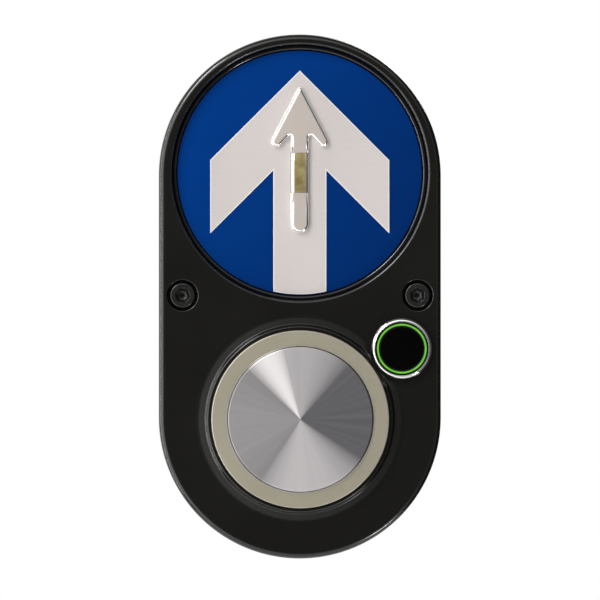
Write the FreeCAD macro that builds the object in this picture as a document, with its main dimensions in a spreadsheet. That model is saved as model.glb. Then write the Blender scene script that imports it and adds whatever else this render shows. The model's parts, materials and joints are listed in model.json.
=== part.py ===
import FreeCAD, Part
import os
import Sketcher

# Pedestrian push button with a direction disc that carries a raised arrow, a
# touch bar that vibrates, a large sprung button and a touchless sensor.
#
# Frame: +X to the reader's right, +Z up, the front looks along -Y. The wall or
# pole plane is y = 0 and the origin is the middle of the mounting face. Every
# "forward" size is a distance in front of that plane, so it stands for -y.

os.makedirs("parts", exist_ok=True)
doc = FreeCAD.newDocument("PedestrianPushButton")
sheet = doc.addObject("Spreadsheet::Sheet", "sizes")

SIZES = {
    # case, a flat-sided outline with a half round at each end
    "case_radius": 65.0,
    "case_centre_height": 55.75,
    "case_wall": 4.0,
    "case_edge_round": 2.4,
    "back_floor": 5.0,
    "back_depth": 14.0,
    "seal_thickness": 1.2,
    "seal_inset": 0.6,
    "face_forward": 52.0,
    "face_thickness": 5.0,
    # fixing of the case
    "bolt_from_end": 22.75,
    "bolt_height": "=case_centre_height + case_radius - bolt_from_end",
    "bolt_hole_radius": 4.5,
    "bolt_land_radius": 11.0,
    "bolt_land_height": 2.0,
    "cable_hole_radius": 9.0,
    "cable_hole_height": -5.0,
    "cable_bore_radius": 5.0,
    "grommet_lip": 2.4,
    "grommet_lip_thickness": 1.6,
    # cover screws
    "screw_from_side": 10.9,
    "screw_reach": "=case_radius - screw_from_side",
    "screw_height": 0.5,
    "screw_radius": 4.0,
    "screw_head_radius": 5.8,
    "screw_head_height": 8.0,
    "screw_head_sink": 0.8,
    "screw_socket_radius": 3.5,
    "screw_socket_depth": 4.0,
    "screw_counterbore_radius": 7.2,
    "screw_post_radius": 9.6,
    "screw_head_edge": 0.6,
    "screw_hole_play": 0.5,
    "screw_tip_gap": 1.0,
    "screw_thread_length": 12.0,
    "washer_thickness": 1.2,
    "washer_overhang": 0.4,
    # recess of the disc
    "disc_offset": 1.25,
    "disc_height": "=case_centre_height + disc_offset",
    "recess_margin": 2.6,
    "recess_radius": "=disc_radius + recess_margin",
    "recess_depth": 7.5,
    "recess_floor": "=face_forward - recess_depth",
    "recess_floor_thickness": 3.5,
    "recess_lip_round": 1.3,
    "recess_shoulder": 0.5,
    "hub_hole_radius": 22.0,
    "trim_ring_margin": 1.35,
    "trim_ring_radius": "=disc_radius + trim_ring_margin",
    "trim_ring_wire": 1.0,
    "trim_ring_stand": 0.4,
    # disc and arrows
    "disc_radius": 56.4,
    "disc_thickness": 1.5,
    "disc_stand": 3.5,
    "disc_front": "=recess_floor + disc_stand",
    "bearing_thickness": 0.35,
    "bearing_margin": 6.4,
    "bearing_outer": "=disc_radius - bearing_margin",
    "bearing_lap": 4.0,
    "bearing_inner": "=hub_hole_radius + bearing_lap",
    "legend_thickness": 0.25,
    "legend_tip_margin": 9.2,
    "legend_apex": "=disc_radius - legend_tip_margin",
    "legend_side_margin": 15.1,
    "legend_half_span": "=disc_radius - legend_side_margin",
    "legend_wing_drop": 33.8,
    "legend_half_shaft": 12.25,
    "legend_edge_gap": 0.4,
    "tactile_height": 2.1,
    "tactile_flank": 1.9,
    "tactile_core_apex": 35.05,
    "tactile_barb_half_span": 10.8,
    "tactile_barb_height": 14.4,
    "tactile_barb_radius": 2.65,
    "tactile_web_lean": 48.0,
    "tactile_half_shaft": 4.4,
    "tactile_tail_end": 27.8,
    # touch bar
    "bar_length": 18.1,
    "bar_width": 8.2,
    "bar_bevel": 1.9,
    "bar_bevel_depth": 1.8,
    "bar_gap": 0.2,
    "bar_sink": 1.8,
    "bar_back": "=disc_front - bar_sink",
    "bar_stem_radius": 2.2,
    # turning hub behind the disc
    "hub_play": 0.05,
    "hub_radius": "=hub_hole_radius - hub_play",
    "hub_end_play": 0.2,
    "hub_back": "=recess_floor - recess_floor_thickness - wave_washer_thickness - hub_end_play",
    "hub_recess": 1.9,
    "guide_radius": 5.0,
    "diaphragm_thickness": 0.8,
    "clamp_lap": 5.0,
    "clamp_radius": "=hub_hole_radius + clamp_lap",
    "clamp_thickness": 3.0,
    "wave_washer_thickness": 0.4,
    "hub_screw_inset": 3.55,
    "hub_screw_circle": "=hub_radius - hub_screw_inset",
    "hub_screw_radius": 1.45,
    "hub_screw_depth": 6.0,
    "hub_screw_head_radius": 2.75,
    "hub_screw_head_height": 1.8,
    "hub_screw_tip_gap": 0.5,
    "guide_bore_play": 0.06,
    "diaphragm_bore_play": 0.15,
    "wave_washer_inset": 0.5,
    "wave_washer_play": 0.4,
    # vibrator
    "frame_flange_inset": 0.55,
    "frame_flange_radius": "=hub_radius - frame_flange_inset",
    "frame_flange_thickness": 1.5,
    "frame_radius": 14.6,
    "frame_wall": 1.6,
    "vibrator_depth": 17.4,
    "frame_back": "=hub_back - vibrator_depth",
    "yoke_thickness": 2.5,
    "pole_radius": 6.0,
    "pole_length": 8.5,
    "pole_front": "=frame_back + pole_length",
    "magnet_gap": 1.1,
    "magnet_inner": "=coil_outer + magnet_gap",
    "magnet_reach": 7.5,
    "magnet_front": "=frame_back + magnet_reach",
    "air_gap": 0.5,
    "pole_ring_inner": "=coil_outer + air_gap",
    "pole_ring_thickness": 2.0,
    "pole_gap": 0.7,
    "former_radius": "=pole_radius + pole_gap",
    "former_wall": 0.4,
    "former_room": 4.5,
    "former_back": "=frame_back + former_room",
    "former_set_back": 5.4,
    "former_front": "=hub_back - former_set_back",
    "former_head": 1.0,
    "coil_build": 1.6,
    "coil_outer": "=former_radius + coil_build",
    "coil_length": 5.0,
    "coil_set_back": 0.5,
    "spring_disc_depth": 0.6,
    "spring_disc_thickness": 0.3,
    # button
    "button_offset": 0.65,
    "button_drop": "=case_centre_height + button_offset",
    "collar_foot_width": 6.2,
    "collar_radius": "=ring_outer + collar_foot_width",
    "collar_shoulder_width": 2.9,
    "collar_shoulder_radius": "=ring_outer + collar_shoulder_width",
    "collar_shoulder_height": 0.8,
    "collar_crest_width": 1.7,
    "collar_crest_radius": "=ring_outer + collar_crest_width",
    "collar_height": 2.6,
    "collar_drop": 0.6,
    "ring_width": 7.3,
    "ring_outer": "=ring_inner + ring_width",
    "ring_inner": 33.5,
    "ring_stand": 5.0,
    "ring_front": "=face_forward + ring_stand",
    "ring_lift": 0.5,
    "ring_back": "=face_forward + ring_lift",
    "ring_bevel": 0.6,
    "ring_seat_depth": 2.5,
    "ring_seat": "=face_forward - ring_seat_depth",
    "ring_seat_width": 2.5,
    "button_hole_radius": "=ring_inner + ring_seat_width",
    "button_seal_thickness": 0.8,
    "barrel_wall": 2.4,
    "barrel_length": 16.0,
    "barrel_back": "=face_forward - barrel_length",
    "barrel_floor": 3.0,
    "guide_boss_wall": 2.2,
    "guide_boss_radius": "=stem_radius + guide_boss_wall",
    "guide_boss_length": 5.5,
    "nut_width": 3.6,
    "nut_thickness": 4.5,
    "cap_gap": 0.3,
    "cap_proud": 1.4,
    "cap_front": "=ring_front + cap_proud",
    "cap_thickness": 2.6,
    "cap_bevel": 0.5,
    "cap_skirt_wall": 2.0,
    "cap_skirt_depth": 6.5,
    "cap_skirt_back": "=face_forward - cap_skirt_depth",
    "stem_radius": 6.0,
    "stem_gap": 0.08,
    "stem_overhang": 8.8,
    "stem_back": "=barrel_back - stem_overhang",
    "nose_radius": 1.6,
    "nose_length": 2.2,
    "clip_width": 2.0,
    "clip_radius": "=stem_radius + clip_width",
    "clip_thickness": 1.0,
    "clip_groove": 0.8,
    "wiper_width": 0.9,
    "wiper_height": 2.0,
    "wiper_depth": 0.5,
    "wiper_play": 0.05,
    "spring_room": 4.4,
    "spring_radius": "=stem_radius + spring_room",
    "spring_wire": 0.8,
    "spring_turns": 5,
    # switch
    "switch_length": 27.8,
    "switch_width": 10.3,
    "switch_gap": 7.2,
    "switch_front": "=stem_back - switch_gap",
    "switch_height": 13.0,
    "switch_back": "=switch_front - switch_height",
    "lever_pivot_reach": 13.0,
    "lever_pivot_rise": 1.0,
    "lever_slope": 13.0,
    "lever_thickness": 0.4,
    "lever_width": 4.0,
    "lever_over": 3.0,
    "lever_gap": 0.45,
    "plunger_reach": 5.0,
    "plunger_radius": 1.2,
    "plunger_length": 4.5,
    "bracket_thickness": 1.5,
    "bracket_half_length": 13.5,
    "bracket_screw_margin": 10.3,
    "bracket_screw_reach": "=guide_boss_radius + bracket_screw_margin",
    "bracket_screw_radius": 1.25,
    "pin_reach": 11.0,
    "pin_drop": 5.0,
    "pin_radius": 1.4,
    "terminal_length": 3.4,
    "terminal_thickness": 0.8,
    "terminal_width": 4.0,
    "terminal_pitch": 8.0,
    "well_relief": 2.0,
    "pin_overhang": 2.5,
    "bracket_foot": 4.0,
    "bracket_leg_gap": 2.0,
    "bracket_screw_head_radius": 2.2,
    "bracket_screw_head_height": 1.6,
    "bracket_screw_pocket": 4.0,
    # touchless sensor
    "sensor_from_side": 18.2,
    "sensor_across": "=case_radius - sensor_from_side",
    "sensor_above_button": 32.4,
    "sensor_height": "=sensor_above_button - button_drop",
    "sensor_bezel_width": 2.0,
    "sensor_bezel_radius": "=sensor_bezel_inner + sensor_bezel_width",
    "sensor_bezel_step": 1.1,
    "sensor_bezel_inner": "=sensor_barrel_radius + sensor_bezel_step",
    "sensor_bezel_rise": 2.3,
    "sensor_bezel_edge": 0.7,
    "sensor_bezel_slope": 0.8,
    "sensor_bezel_crown": 0.3,
    "sensor_bezel_lip": 0.2,
    "sensor_barrel_radius": 10.9,
    "sensor_barrel_wall": 1.0,
    "sensor_depth": 20.0,
    "sensor_barrel_back": "=face_forward - sensor_depth",
    "sensor_hole_gap": 0.2,
    "sensor_ring_gap": 0.35,
    "sensor_ring_outer": "=sensor_bezel_inner - sensor_ring_gap",
    "sensor_ring_width": 1.15,
    "sensor_ring_inner": "=sensor_ring_outer - sensor_ring_width",
    "sensor_ring_rise": 1.5,
    "sensor_lens_gap": 0.2,
    "sensor_lens_radius": "=sensor_ring_inner - sensor_lens_gap",
    "sensor_lens_rise": 1.3,
    "sensor_lens_thickness": 1.3,
    "sensor_nut_width": 2.8,
    "sensor_nut_radius": "=sensor_barrel_radius + sensor_nut_width",
    "sensor_nut_thickness": 4.0,
    "sensor_seal_thickness": 0.5,
    "sensor_board_depth": 14.0,
    "sensor_board_forward": "=face_forward - sensor_board_depth",
    "sensor_board_thickness": 1.2,
    "sensor_eye_radius": 2.5,
    "sensor_eye_length": 2.8,
    "sensor_floor_thickness": 1.5,
    # control board
    "board_across": 78.0,
    "board_low": 10.0,
    "board_tall": 66.0,
    "board_forward": 10.0,
    "board_thickness": 1.6,
    "board_inset": 4.5,
    "board_screw_radius": 1.4,
    "standoff_radius": 3.2,
    "board_screw_head_radius": 2.6,
    "board_screw_head_height": 1.6,
    "board_screw_tip_gap": 0.3,
    "processor_side": 14.0,
    "processor_height": 2.2,
    "chip_length": 9.0,
    "chip_width": 6.0,
    "chip_height": 1.6,
    "relay_length": 18.0,
    "relay_width": 9.0,
    "relay_height": 5.0,
    "capacitor_radius": 4.0,
    "capacitor_height": 7.0,
    "capacitor_across": 24.0,
    "strip_length": 40.0,
    "strip_depth": 7.0,
    "strip_width": 8.0,
    "strip_rise": 7.0,
    "strip_bore_radius": 1.6,
    "strip_pitch": 5.0,
    "clearance": 0.1,
}

for row, alias in enumerate(SIZES, start=1):
    sheet.set("A%d" % row, alias.replace("_", " "))
    sheet.setAlias("B%d" % row, alias)
for alias, number in SIZES.items():
    sheet.set(alias, str(number))
doc.recompute()


def size(expression):
    """Value of an expression of the sheet's names, in millimetres."""
    return float(sheet.evalExpression(expression.replace("sizes.", "")))


def bind(item, prop, expression):
    """Ties one property of an object to an expression of the sheet's names."""
    item.setExpression(prop, expression)
    return item


# ---------------------------------------------------------------- small kit

FINISHED = []


def finished(item, label):
    """Names a sub-part, which makes it one of the files written at the end."""
    item.Label = label
    FINISHED.append(item)
    return item


def place(item, across="0", forward="0", height="0", turn=None):
    """Puts a primitive at a place given across, forward and up."""
    if turn is not None:
        item.Placement = FreeCAD.Placement(FreeCAD.Vector(), turn)
    bind(item, "Placement.Base.x", across)
    bind(item, "Placement.Base.y", "-(%s)" % forward)
    bind(item, "Placement.Base.z", height)
    return item


FORWARD = FreeCAD.Rotation(FreeCAD.Vector(1, 0, 0), 90)


def rod(radius, back, front, across="0", height="0"):
    """Cylinder whose axis runs forward, from one distance to another."""
    item = doc.addObject("Part::Cylinder", "rod")
    bind(item, "Radius", radius)
    bind(item, "Height", "(%s) - (%s)" % (front, back))
    return place(item, across, back, height, FORWARD)


def block(width, depth, tall, across, forward, height):
    """Box given by its size and by its middle across and up, and its back face."""
    item = doc.addObject("Part::Box", "block")
    bind(item, "Length", width)
    bind(item, "Width", depth)
    bind(item, "Height", tall)
    left = "(%s) - (%s) / 2" % (across, width)
    front = "(%s) + (%s)" % (forward, depth)
    low = "(%s) - (%s) / 2" % (height, tall)
    return place(item, left, front, low)


def cut(base, tools):
    """The base without the tools."""
    for tool in tools:
        item = doc.addObject("Part::Cut", "cut")
        item.Base = base
        item.Tool = tool
        base = item
    return base


def fuse(shapes):
    """One solid from several that meet."""
    item = doc.addObject("Part::MultiFuse", "fuse")
    item.Shapes = shapes
    item.Refine = True
    return item


def group(shapes):
    """Separate like solids, such as a set of screws, under one name."""
    item = doc.addObject("Part::Compound", "group")
    item.Links = shapes
    return item


def tube(outer, inner, back, front, across="0", height="0"):
    """Ring or sleeve about a forward axis."""
    shell = rod(outer, back, front, across, height)
    bore = rod(inner, "(%s) - 1" % back, "(%s) + 1" % front, across, height)
    return cut(shell, [bore])


def origin_plane(body, role):
    """The body's own base plane of that role."""
    return [item for item in body.Origin.OriginFeatures if item.Role == role][0]


def outline_sketch(body, name, role, corners):
    """Closed sketch of straight sides whose corners are tied to the sheet."""
    sketch = body.newObject("Sketcher::SketchObject", name)
    sketch.AttachmentSupport = [(origin_plane(body, role), "")]
    sketch.MapMode = "FlatFace"
    spots = [FreeCAD.Vector(size(a), size(b), 0) for a, b in corners]
    for index, spot in enumerate(spots):
        ahead = spots[(index + 1) % len(spots)]
        sketch.addGeometry(Part.LineSegment(spot, ahead))
    for index in range(len(spots)):
        follower = (index + 1) % len(spots)
        sketch.addConstraint(Sketcher.Constraint("Coincident", index, 2, follower, 1))
    for index, (first, second) in enumerate(corners):
        for kind, rule, number in (
            ("DistanceX", first, spots[index].x),
            ("DistanceY", second, spots[index].y),
        ):
            held = sketch.addConstraint(Sketcher.Constraint(kind, -1, 1, index, 1, number))
            sketch.setExpression("Constraints[%d]" % held, rule)
    return sketch


def turned(profile, across="0", height="0"):
    """Body turned about a forward axis from (radius, forward) corners."""
    body = doc.addObject("PartDesign::Body", "turned")
    corners = [(radius, "-(%s)" % forward) for radius, forward in profile]
    sketch = outline_sketch(body, "profile", "XY_Plane", corners)
    feature = body.newObject("PartDesign::Revolution", "revolution")
    feature.Profile = sketch
    feature.ReferenceAxis = (sketch, ["V_Axis"])
    feature.Angle = 360
    bind(body, "Placement.Base.x", across)
    bind(body, "Placement.Base.z", height)
    return body


def stadium(radius, back, front):
    """Flat-sided solid with round ends, the outline of the case."""
    top = rod(radius, back, front, "0", "sizes.case_centre_height")
    bottom = rod(radius, back, front, "0", "-sizes.case_centre_height")
    depth = "(%s) - (%s)" % (front, back)
    middle = block("2 * (%s)" % radius, depth, "2 * sizes.case_centre_height", "0", back, "0")
    return fuse([top, bottom, middle])


def prism(radius, back, front, across, height):
    """Hexagonal prism about a forward axis, given by its corner radius."""
    item = doc.addObject("Part::Prism", "hexagon")
    item.Polygon = 6
    bind(item, "Circumradius", radius)
    bind(item, "Height", "(%s) - (%s)" % (front, back))
    return place(item, across, back, height, FORWARD)


def o_ring(radius, wire, forward, across, height):
    """Round-section ring about a forward axis."""
    item = doc.addObject("Part::Torus", "o_ring")
    bind(item, "Radius1", radius)
    bind(item, "Radius2", wire)
    return place(item, across, forward, height, FORWARD)


def edges_near(shape, test):
    """Numbers of the edges whose middle point passes a test."""
    found = []
    for number, edge in enumerate(shape.Edges, start=1):
        middle = edge.valueAt((edge.FirstParameter + edge.LastParameter) / 2)
        if test(edge, middle):
            found.append(number)
    return found


def rounded(base, radius, test):
    """Rounds the edges that pass a test by one radius of the sheet."""
    doc.recompute()
    item = doc.addObject("Part::Fillet", "fillet")
    item.Base = base
    amount = size(radius)
    item.Edges = [(number, amount, amount) for number in edges_near(base.Shape, test)]
    return item


DISC_UP = "sizes.disc_height"
BUTTON_UP = "-sizes.button_drop"
CASE_FRONT = "sizes.face_forward"
FACE_BACK = "sizes.face_forward - sizes.face_thickness"
CAVITY = "sizes.case_radius - sizes.case_wall"
SEAM = "sizes.back_depth + sizes.seal_thickness"
SCREW_SIDES = ("-sizes.screw_reach", "sizes.screw_reach")


# ---------------------------------------------------------------- case

def back_box():
    """Cast tray that stands on the wall and takes the cover screws."""
    tray = stadium("sizes.case_radius", "0", "sizes.back_depth")
    hollow = stadium(CAVITY, "sizes.back_floor", "sizes.back_depth + 1")
    solids = [cut(tray, [hollow])]
    holes = []
    for side in SCREW_SIDES:
        solids.append(rod("sizes.screw_post_radius", "0", "sizes.back_depth", side, "sizes.screw_height"))
        tapped = "sizes.back_depth - sizes.screw_thread_length + sizes.seal_thickness"
        holes.append(rod("sizes.screw_radius + sizes.clearance", tapped, "sizes.back_depth + 1",
                         side, "sizes.screw_height"))
    land_front = "sizes.back_floor + sizes.bolt_land_height"
    for height in ("sizes.bolt_height", "-sizes.bolt_height"):
        solids.append(rod("sizes.bolt_land_radius", "0", land_front, "0", height))
        holes.append(rod("sizes.bolt_hole_radius", "-1", land_front + " + 1", "0", height))
    for across in board_sides():
        for height in board_levels():
            solids.append(rod("sizes.standoff_radius", "0", "sizes.board_forward - sizes.clearance",
                              across, height))
            holes.append(rod("sizes.board_screw_radius + sizes.clearance", "sizes.back_floor",
                             "sizes.board_forward + 1", across, height))
    holes.append(rod("sizes.cable_hole_radius", "-1", "sizes.back_floor + 1", "0",
                     "sizes.cable_hole_height"))
    whole = fuse(solids)
    trimmed = doc.addObject("Part::Common", "trimmed")
    trimmed.Base = whole
    trimmed.Tool = stadium("sizes.case_radius", "0", "sizes.back_depth")
    return finished(cut(trimmed, holes), "back_box")


def board_sides():
    """Places across of the control board's fixings."""
    reach = "(sizes.board_across / 2 - sizes.board_inset)"
    return ["-" + reach, reach]


def board_levels():
    """Heights of the control board's fixings."""
    low = "sizes.board_low + sizes.board_inset"
    high = "sizes.board_low + sizes.board_tall - sizes.board_inset"
    return [low, high]


def housing_gasket():
    """Rubber seal in the seam, a little inside the outline."""
    outer = stadium("sizes.case_radius - sizes.seal_inset", "sizes.back_depth", SEAM)
    inner = stadium(CAVITY, "sizes.back_depth - 1", SEAM + " + 1")
    ring = cut(outer, [inner])
    holes = []
    posts = []
    for side in SCREW_SIDES:
        posts.append(rod("sizes.screw_post_radius", "sizes.back_depth", SEAM, side, "sizes.screw_height"))
        holes.append(rod("sizes.screw_radius + sizes.clearance", "sizes.back_depth - 1", SEAM + " + 1",
                         side, "sizes.screw_height"))
    whole = fuse([ring] + posts)
    trimmed = doc.addObject("Part::Common", "trimmed")
    trimmed.Base = whole
    trimmed.Tool = stadium("sizes.case_radius - sizes.seal_inset", "sizes.back_depth", SEAM)
    return finished(cut(trimmed, holes), "housing_gasket")


def front_housing():
    """Deep cover with the disc's recess and the raised collar round the button."""
    block_out = stadium("sizes.case_radius", SEAM, CASE_FRONT)
    front_edge = rounded(
        block_out, "sizes.case_edge_round",
        lambda edge, middle: abs(middle.y + size(CASE_FRONT)) < 0.01,
    )
    shell = cut(front_edge, [stadium(CAVITY, SEAM + " - 1", FACE_BACK)])
    solids = [shell]
    recess_back = "sizes.recess_floor - sizes.recess_floor_thickness"
    solids.append(rod("sizes.recess_radius + sizes.case_wall / 2", recess_back, FACE_BACK + " + 1", "0",
                      DISC_UP))
    crest = CASE_FRONT + " + sizes.collar_height"
    bore = "sizes.ring_outer + sizes.sensor_hole_gap"
    collar = turned([
        (bore, FACE_BACK + " + 1"),
        ("sizes.collar_radius", FACE_BACK + " + 1"),
        ("sizes.collar_radius", CASE_FRONT),
        ("sizes.collar_shoulder_radius", CASE_FRONT + " + sizes.collar_shoulder_height"),
        ("sizes.collar_crest_radius", crest),
        (bore + " + sizes.collar_drop", crest),
        (bore, crest + " - sizes.collar_drop"),
    ], "0", BUTTON_UP)
    solids.append(collar)
    holes = []
    for side in SCREW_SIDES:
        solids.append(rod("sizes.screw_post_radius", SEAM, FACE_BACK + " + 1", side, "sizes.screw_height"))
        seat = CASE_FRONT + " - sizes.screw_head_sink - sizes.screw_head_height - sizes.washer_thickness"
        holes.append(rod("sizes.screw_counterbore_radius", seat, CASE_FRONT + " + 1", side,
                         "sizes.screw_height"))
        holes.append(rod("sizes.screw_radius + sizes.screw_hole_play", SEAM + " - 1", CASE_FRONT, side,
                         "sizes.screw_height"))
    holes.append(turned([
        ("0", "sizes.recess_floor"),
        ("sizes.trim_ring_radius + sizes.trim_ring_wire + sizes.clearance", "sizes.recess_floor"),
        ("sizes.recess_radius", "sizes.disc_front + sizes.recess_shoulder"),
        ("sizes.recess_radius", CASE_FRONT + " - sizes.recess_lip_round"),
        ("sizes.recess_radius + sizes.recess_lip_round * 0.3",
         CASE_FRONT + " - sizes.recess_lip_round * 0.3"),
        ("sizes.recess_radius + sizes.recess_lip_round", CASE_FRONT),
        ("sizes.recess_radius + sizes.recess_lip_round", CASE_FRONT + " + 1"),
        ("0", CASE_FRONT + " + 1"),
    ], "0", DISC_UP))
    holes.append(rod("sizes.hub_hole_radius", recess_back + " - 1", "sizes.recess_floor + 1", "0", DISC_UP))
    holes.append(rod(bore, "sizes.ring_seat", crest + " + 1", "0", BUTTON_UP))
    holes.append(rod("sizes.button_hole_radius", FACE_BACK + " - 1", "sizes.ring_seat + 1", "0", BUTTON_UP))
    holes.append(rod("sizes.sensor_bezel_radius + sizes.sensor_hole_gap", CASE_FRONT, crest + " + 1",
                     "sizes.sensor_across", "sizes.sensor_height"))
    holes.append(rod("sizes.sensor_barrel_radius + sizes.sensor_hole_gap", FACE_BACK + " - 1",
                     CASE_FRONT + " + 1", "sizes.sensor_across", "sizes.sensor_height"))
    whole = fuse(solids)
    trimmed = doc.addObject("Part::Common", "trimmed")
    trimmed.Base = whole
    trimmed.Tool = stadium("sizes.case_radius", SEAM, crest)
    return finished(cut(trimmed, holes), "front_housing")


def cover_fasteners():
    """Two socket-head screws with flat washers hold the cover on the tray."""
    screws = []
    washers = []
    head_front = "sizes.face_forward - sizes.screw_head_sink"
    head_back = head_front + " - sizes.screw_head_height"
    tip = "sizes.back_depth - sizes.screw_thread_length + sizes.seal_thickness + sizes.screw_tip_gap"
    for side in SCREW_SIDES:
        head = turned([
            ("0", head_back),
            ("sizes.screw_head_radius", head_back),
            ("sizes.screw_head_radius", head_front + " - sizes.screw_head_edge"),
            ("sizes.screw_head_radius - sizes.screw_head_edge", head_front),
            ("0", head_front),
        ], side, "sizes.screw_height")
        shank = rod("sizes.screw_radius", tip, head_back, side, "sizes.screw_height")
        socket = prism("sizes.screw_socket_radius", head_front + " - sizes.screw_socket_depth",
                       head_front + " + 1", side, "sizes.screw_height")
        screws.append(cut(fuse([head, shank]), [socket]))
        washers.append(tube("sizes.screw_head_radius + sizes.washer_overhang",
                            "sizes.screw_radius + sizes.clearance", head_back + " - sizes.washer_thickness",
                            head_back, side, "sizes.screw_height"))
    finished(group(screws), "cover_screws")
    finished(group(washers), "cover_washers")


def cable_grommet():
    """Rubber bush that grips the wall of the cable hole."""
    lip = "sizes.cable_hole_radius + sizes.grommet_lip"
    bush = turned([
        ("sizes.cable_bore_radius", "0"),
        ("sizes.cable_hole_radius", "0"),
        ("sizes.cable_hole_radius", "sizes.back_floor"),
        (lip, "sizes.back_floor"),
        (lip + " - sizes.grommet_lip_thickness / 4", "sizes.back_floor + sizes.grommet_lip_thickness"),
        ("sizes.cable_bore_radius", "sizes.back_floor + sizes.grommet_lip_thickness"),
    ], "0", "sizes.cable_hole_height")
    return finished(bush, "cable_grommet")


# ---------------------------------------------------------------- direction disc

def bar_slot(back, front):
    """Opening round the touch bar, with the bar's gap on every side."""
    return block("sizes.bar_width + 2 * sizes.bar_gap", "(%s) - (%s)" % (front, back),
                 "sizes.bar_length + 2 * sizes.bar_gap", "0", back, DISC_UP)


def trim_ring():
    """Glossy round-section ring in the corner between the recess and the disc."""
    forward = "sizes.disc_front - sizes.trim_ring_wire + sizes.trim_ring_stand"
    ring = o_ring("sizes.trim_ring_radius", "sizes.trim_ring_wire", forward, "0", DISC_UP)
    return finished(ring, "disc_trim_ring")


def bearing_washer():
    """Slippery flat ring that the disc turns on."""
    ring = tube("sizes.bearing_outer", "sizes.bearing_inner", "sizes.recess_floor",
                "sizes.recess_floor + sizes.bearing_thickness", "0", DISC_UP)
    return finished(ring, "bearing_washer")


def disc_plate():
    """Thin round sign plate."""
    plate = rod("sizes.disc_radius", "sizes.disc_front - sizes.disc_thickness", "sizes.disc_front",
                "0", DISC_UP)
    slot = bar_slot("sizes.disc_front - sizes.disc_thickness - 1", "sizes.disc_front + 1")
    return finished(cut(plate, [slot]), "disc_plate")


def padded(corners, back, length):
    """Body made by pushing an outline on the disc forward by a length."""
    body = doc.addObject("PartDesign::Body", "padded")
    sketch = outline_sketch(body, "outline", "XZ_Plane", corners)
    bind(sketch, "AttachmentOffset.Base.z", back)
    feature = body.newObject("PartDesign::Pad", "pad")
    feature.Profile = sketch
    bind(feature, "Length", length)
    bind(body, "Placement.Base.z", DISC_UP)
    return body


def arrow_legend():
    """Large flat arrow: wings at 45 degrees and a shaft down to the disc's edge."""
    span = "sizes.legend_half_span"
    shaft = "sizes.legend_half_shaft"
    shoulder = "sizes.legend_apex - sizes.legend_half_span"
    armpit = "sizes.legend_apex - sizes.legend_wing_drop - sizes.legend_half_shaft"
    tail = "-sizes.disc_radius"
    right = [(span, shoulder), (span, shoulder + " - sizes.legend_wing_drop"), (shaft, armpit), (shaft, tail)]
    left = [("-" + across, height) for across, height in reversed(right)]
    sheeting = padded([("0", "sizes.legend_apex")] + right + left, "sizes.disc_front",
                      "sizes.legend_thickness")
    trimmed = doc.addObject("Part::Common", "trimmed")
    trimmed.Base = sheeting
    trimmed.Tool = rod("sizes.disc_radius - sizes.legend_edge_gap", "sizes.disc_front - 1",
                       "sizes.disc_front + 1", "0", DISC_UP)
    slot = bar_slot("sizes.disc_front - 1", "sizes.disc_front + 1")
    return finished(cut(trimmed, [slot]), "arrow_legend")


# Steps of the arrow's flank: share drawn in, share of the height where it starts and ends.
FLANK_STEPS = (("0.1", "0", "0.45"), ("0.45", "0.45", "0.85"), ("0.8", "0.85", "1"))


def arrow_layer(inset, back, front):
    """Slab of the raised arrow's outline, drawn in by an amount."""
    barb = "(sizes.tactile_barb_radius - (%s))" % inset
    across = "sizes.tactile_barb_half_span"
    level = "sizes.tactile_barb_height"
    shaft = "(sizes.tactile_half_shaft - (%s))" % inset
    lean = "sizes.tactile_web_lean"
    behind = "sizes.disc_front + (%s)" % back
    ahead = "sizes.disc_front + (%s)" % front
    slope = "atan((sizes.tactile_core_apex - sizes.tactile_barb_height) / sizes.tactile_barb_half_span)"
    flank_x = "%s + %s * sin(%s)" % (across, barb, slope)
    flank_z = "%s + %s * cos(%s)" % (level, barb, slope)
    tip = "%s + (%s) * tan(%s)" % (flank_z, flank_x, slope)
    heel_x = "%s - %s * sin(%s)" % (across, barb, lean)
    heel_z = "%s - %s * cos(%s)" % (level, barb, lean)
    notch = "%s + (%s - %s) * tan(%s)" % (heel_z, heel_x, shaft, lean)
    head = padded([
        ("0", tip),
        (flank_x, flank_z),
        (heel_x, heel_z),
        (shaft, notch),
        ("-" + shaft, notch),
        ("-(%s)" % heel_x, heel_z),
        ("-(%s)" % flank_x, flank_z),
    ], behind, "(%s) - (%s)" % (front, back))
    lobes = [rod(barb, behind, ahead, sign + across, "%s + %s" % (DISC_UP, level)) for sign in ("", "-")]
    tail_up = "-(sizes.tactile_tail_end - sizes.tactile_half_shaft)"
    stem = padded([
        (shaft, level),
        (shaft, tail_up),
        ("-" + shaft, tail_up),
        ("-" + shaft, level),
    ], behind, "(%s) - (%s)" % (front, back))
    tail = rod(shaft, behind, ahead, "0", "%s + %s" % (DISC_UP, tail_up))
    web = padded([
        (shaft, notch),
        (shaft, level),
        ("-" + shaft, level),
        ("-" + shaft, notch),
    ], behind, "(%s) - (%s)" % (front, back))
    return fuse([head, web, stem, tail] + lobes)


def tactile_arrow():
    """Raised metal arrow whose flank steps in three times, cut through where the bar stands."""
    base = "sizes.legend_thickness"
    steps = [
        arrow_layer("sizes.tactile_flank * %s" % drawn_in,
                    "%s + sizes.tactile_height * %s" % (base, low),
                    "%s + sizes.tactile_height * %s" % (base, high))
        for drawn_in, low, high in FLANK_STEPS
    ]
    gap = block("2 * sizes.tactile_half_shaft + 2", "sizes.tactile_height + 2",
                "sizes.bar_length + 2 * sizes.bar_gap", "0", "sizes.disc_front", DISC_UP)
    return finished(cut(fuse(steps), [gap]), "tactile_arrow")


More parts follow.
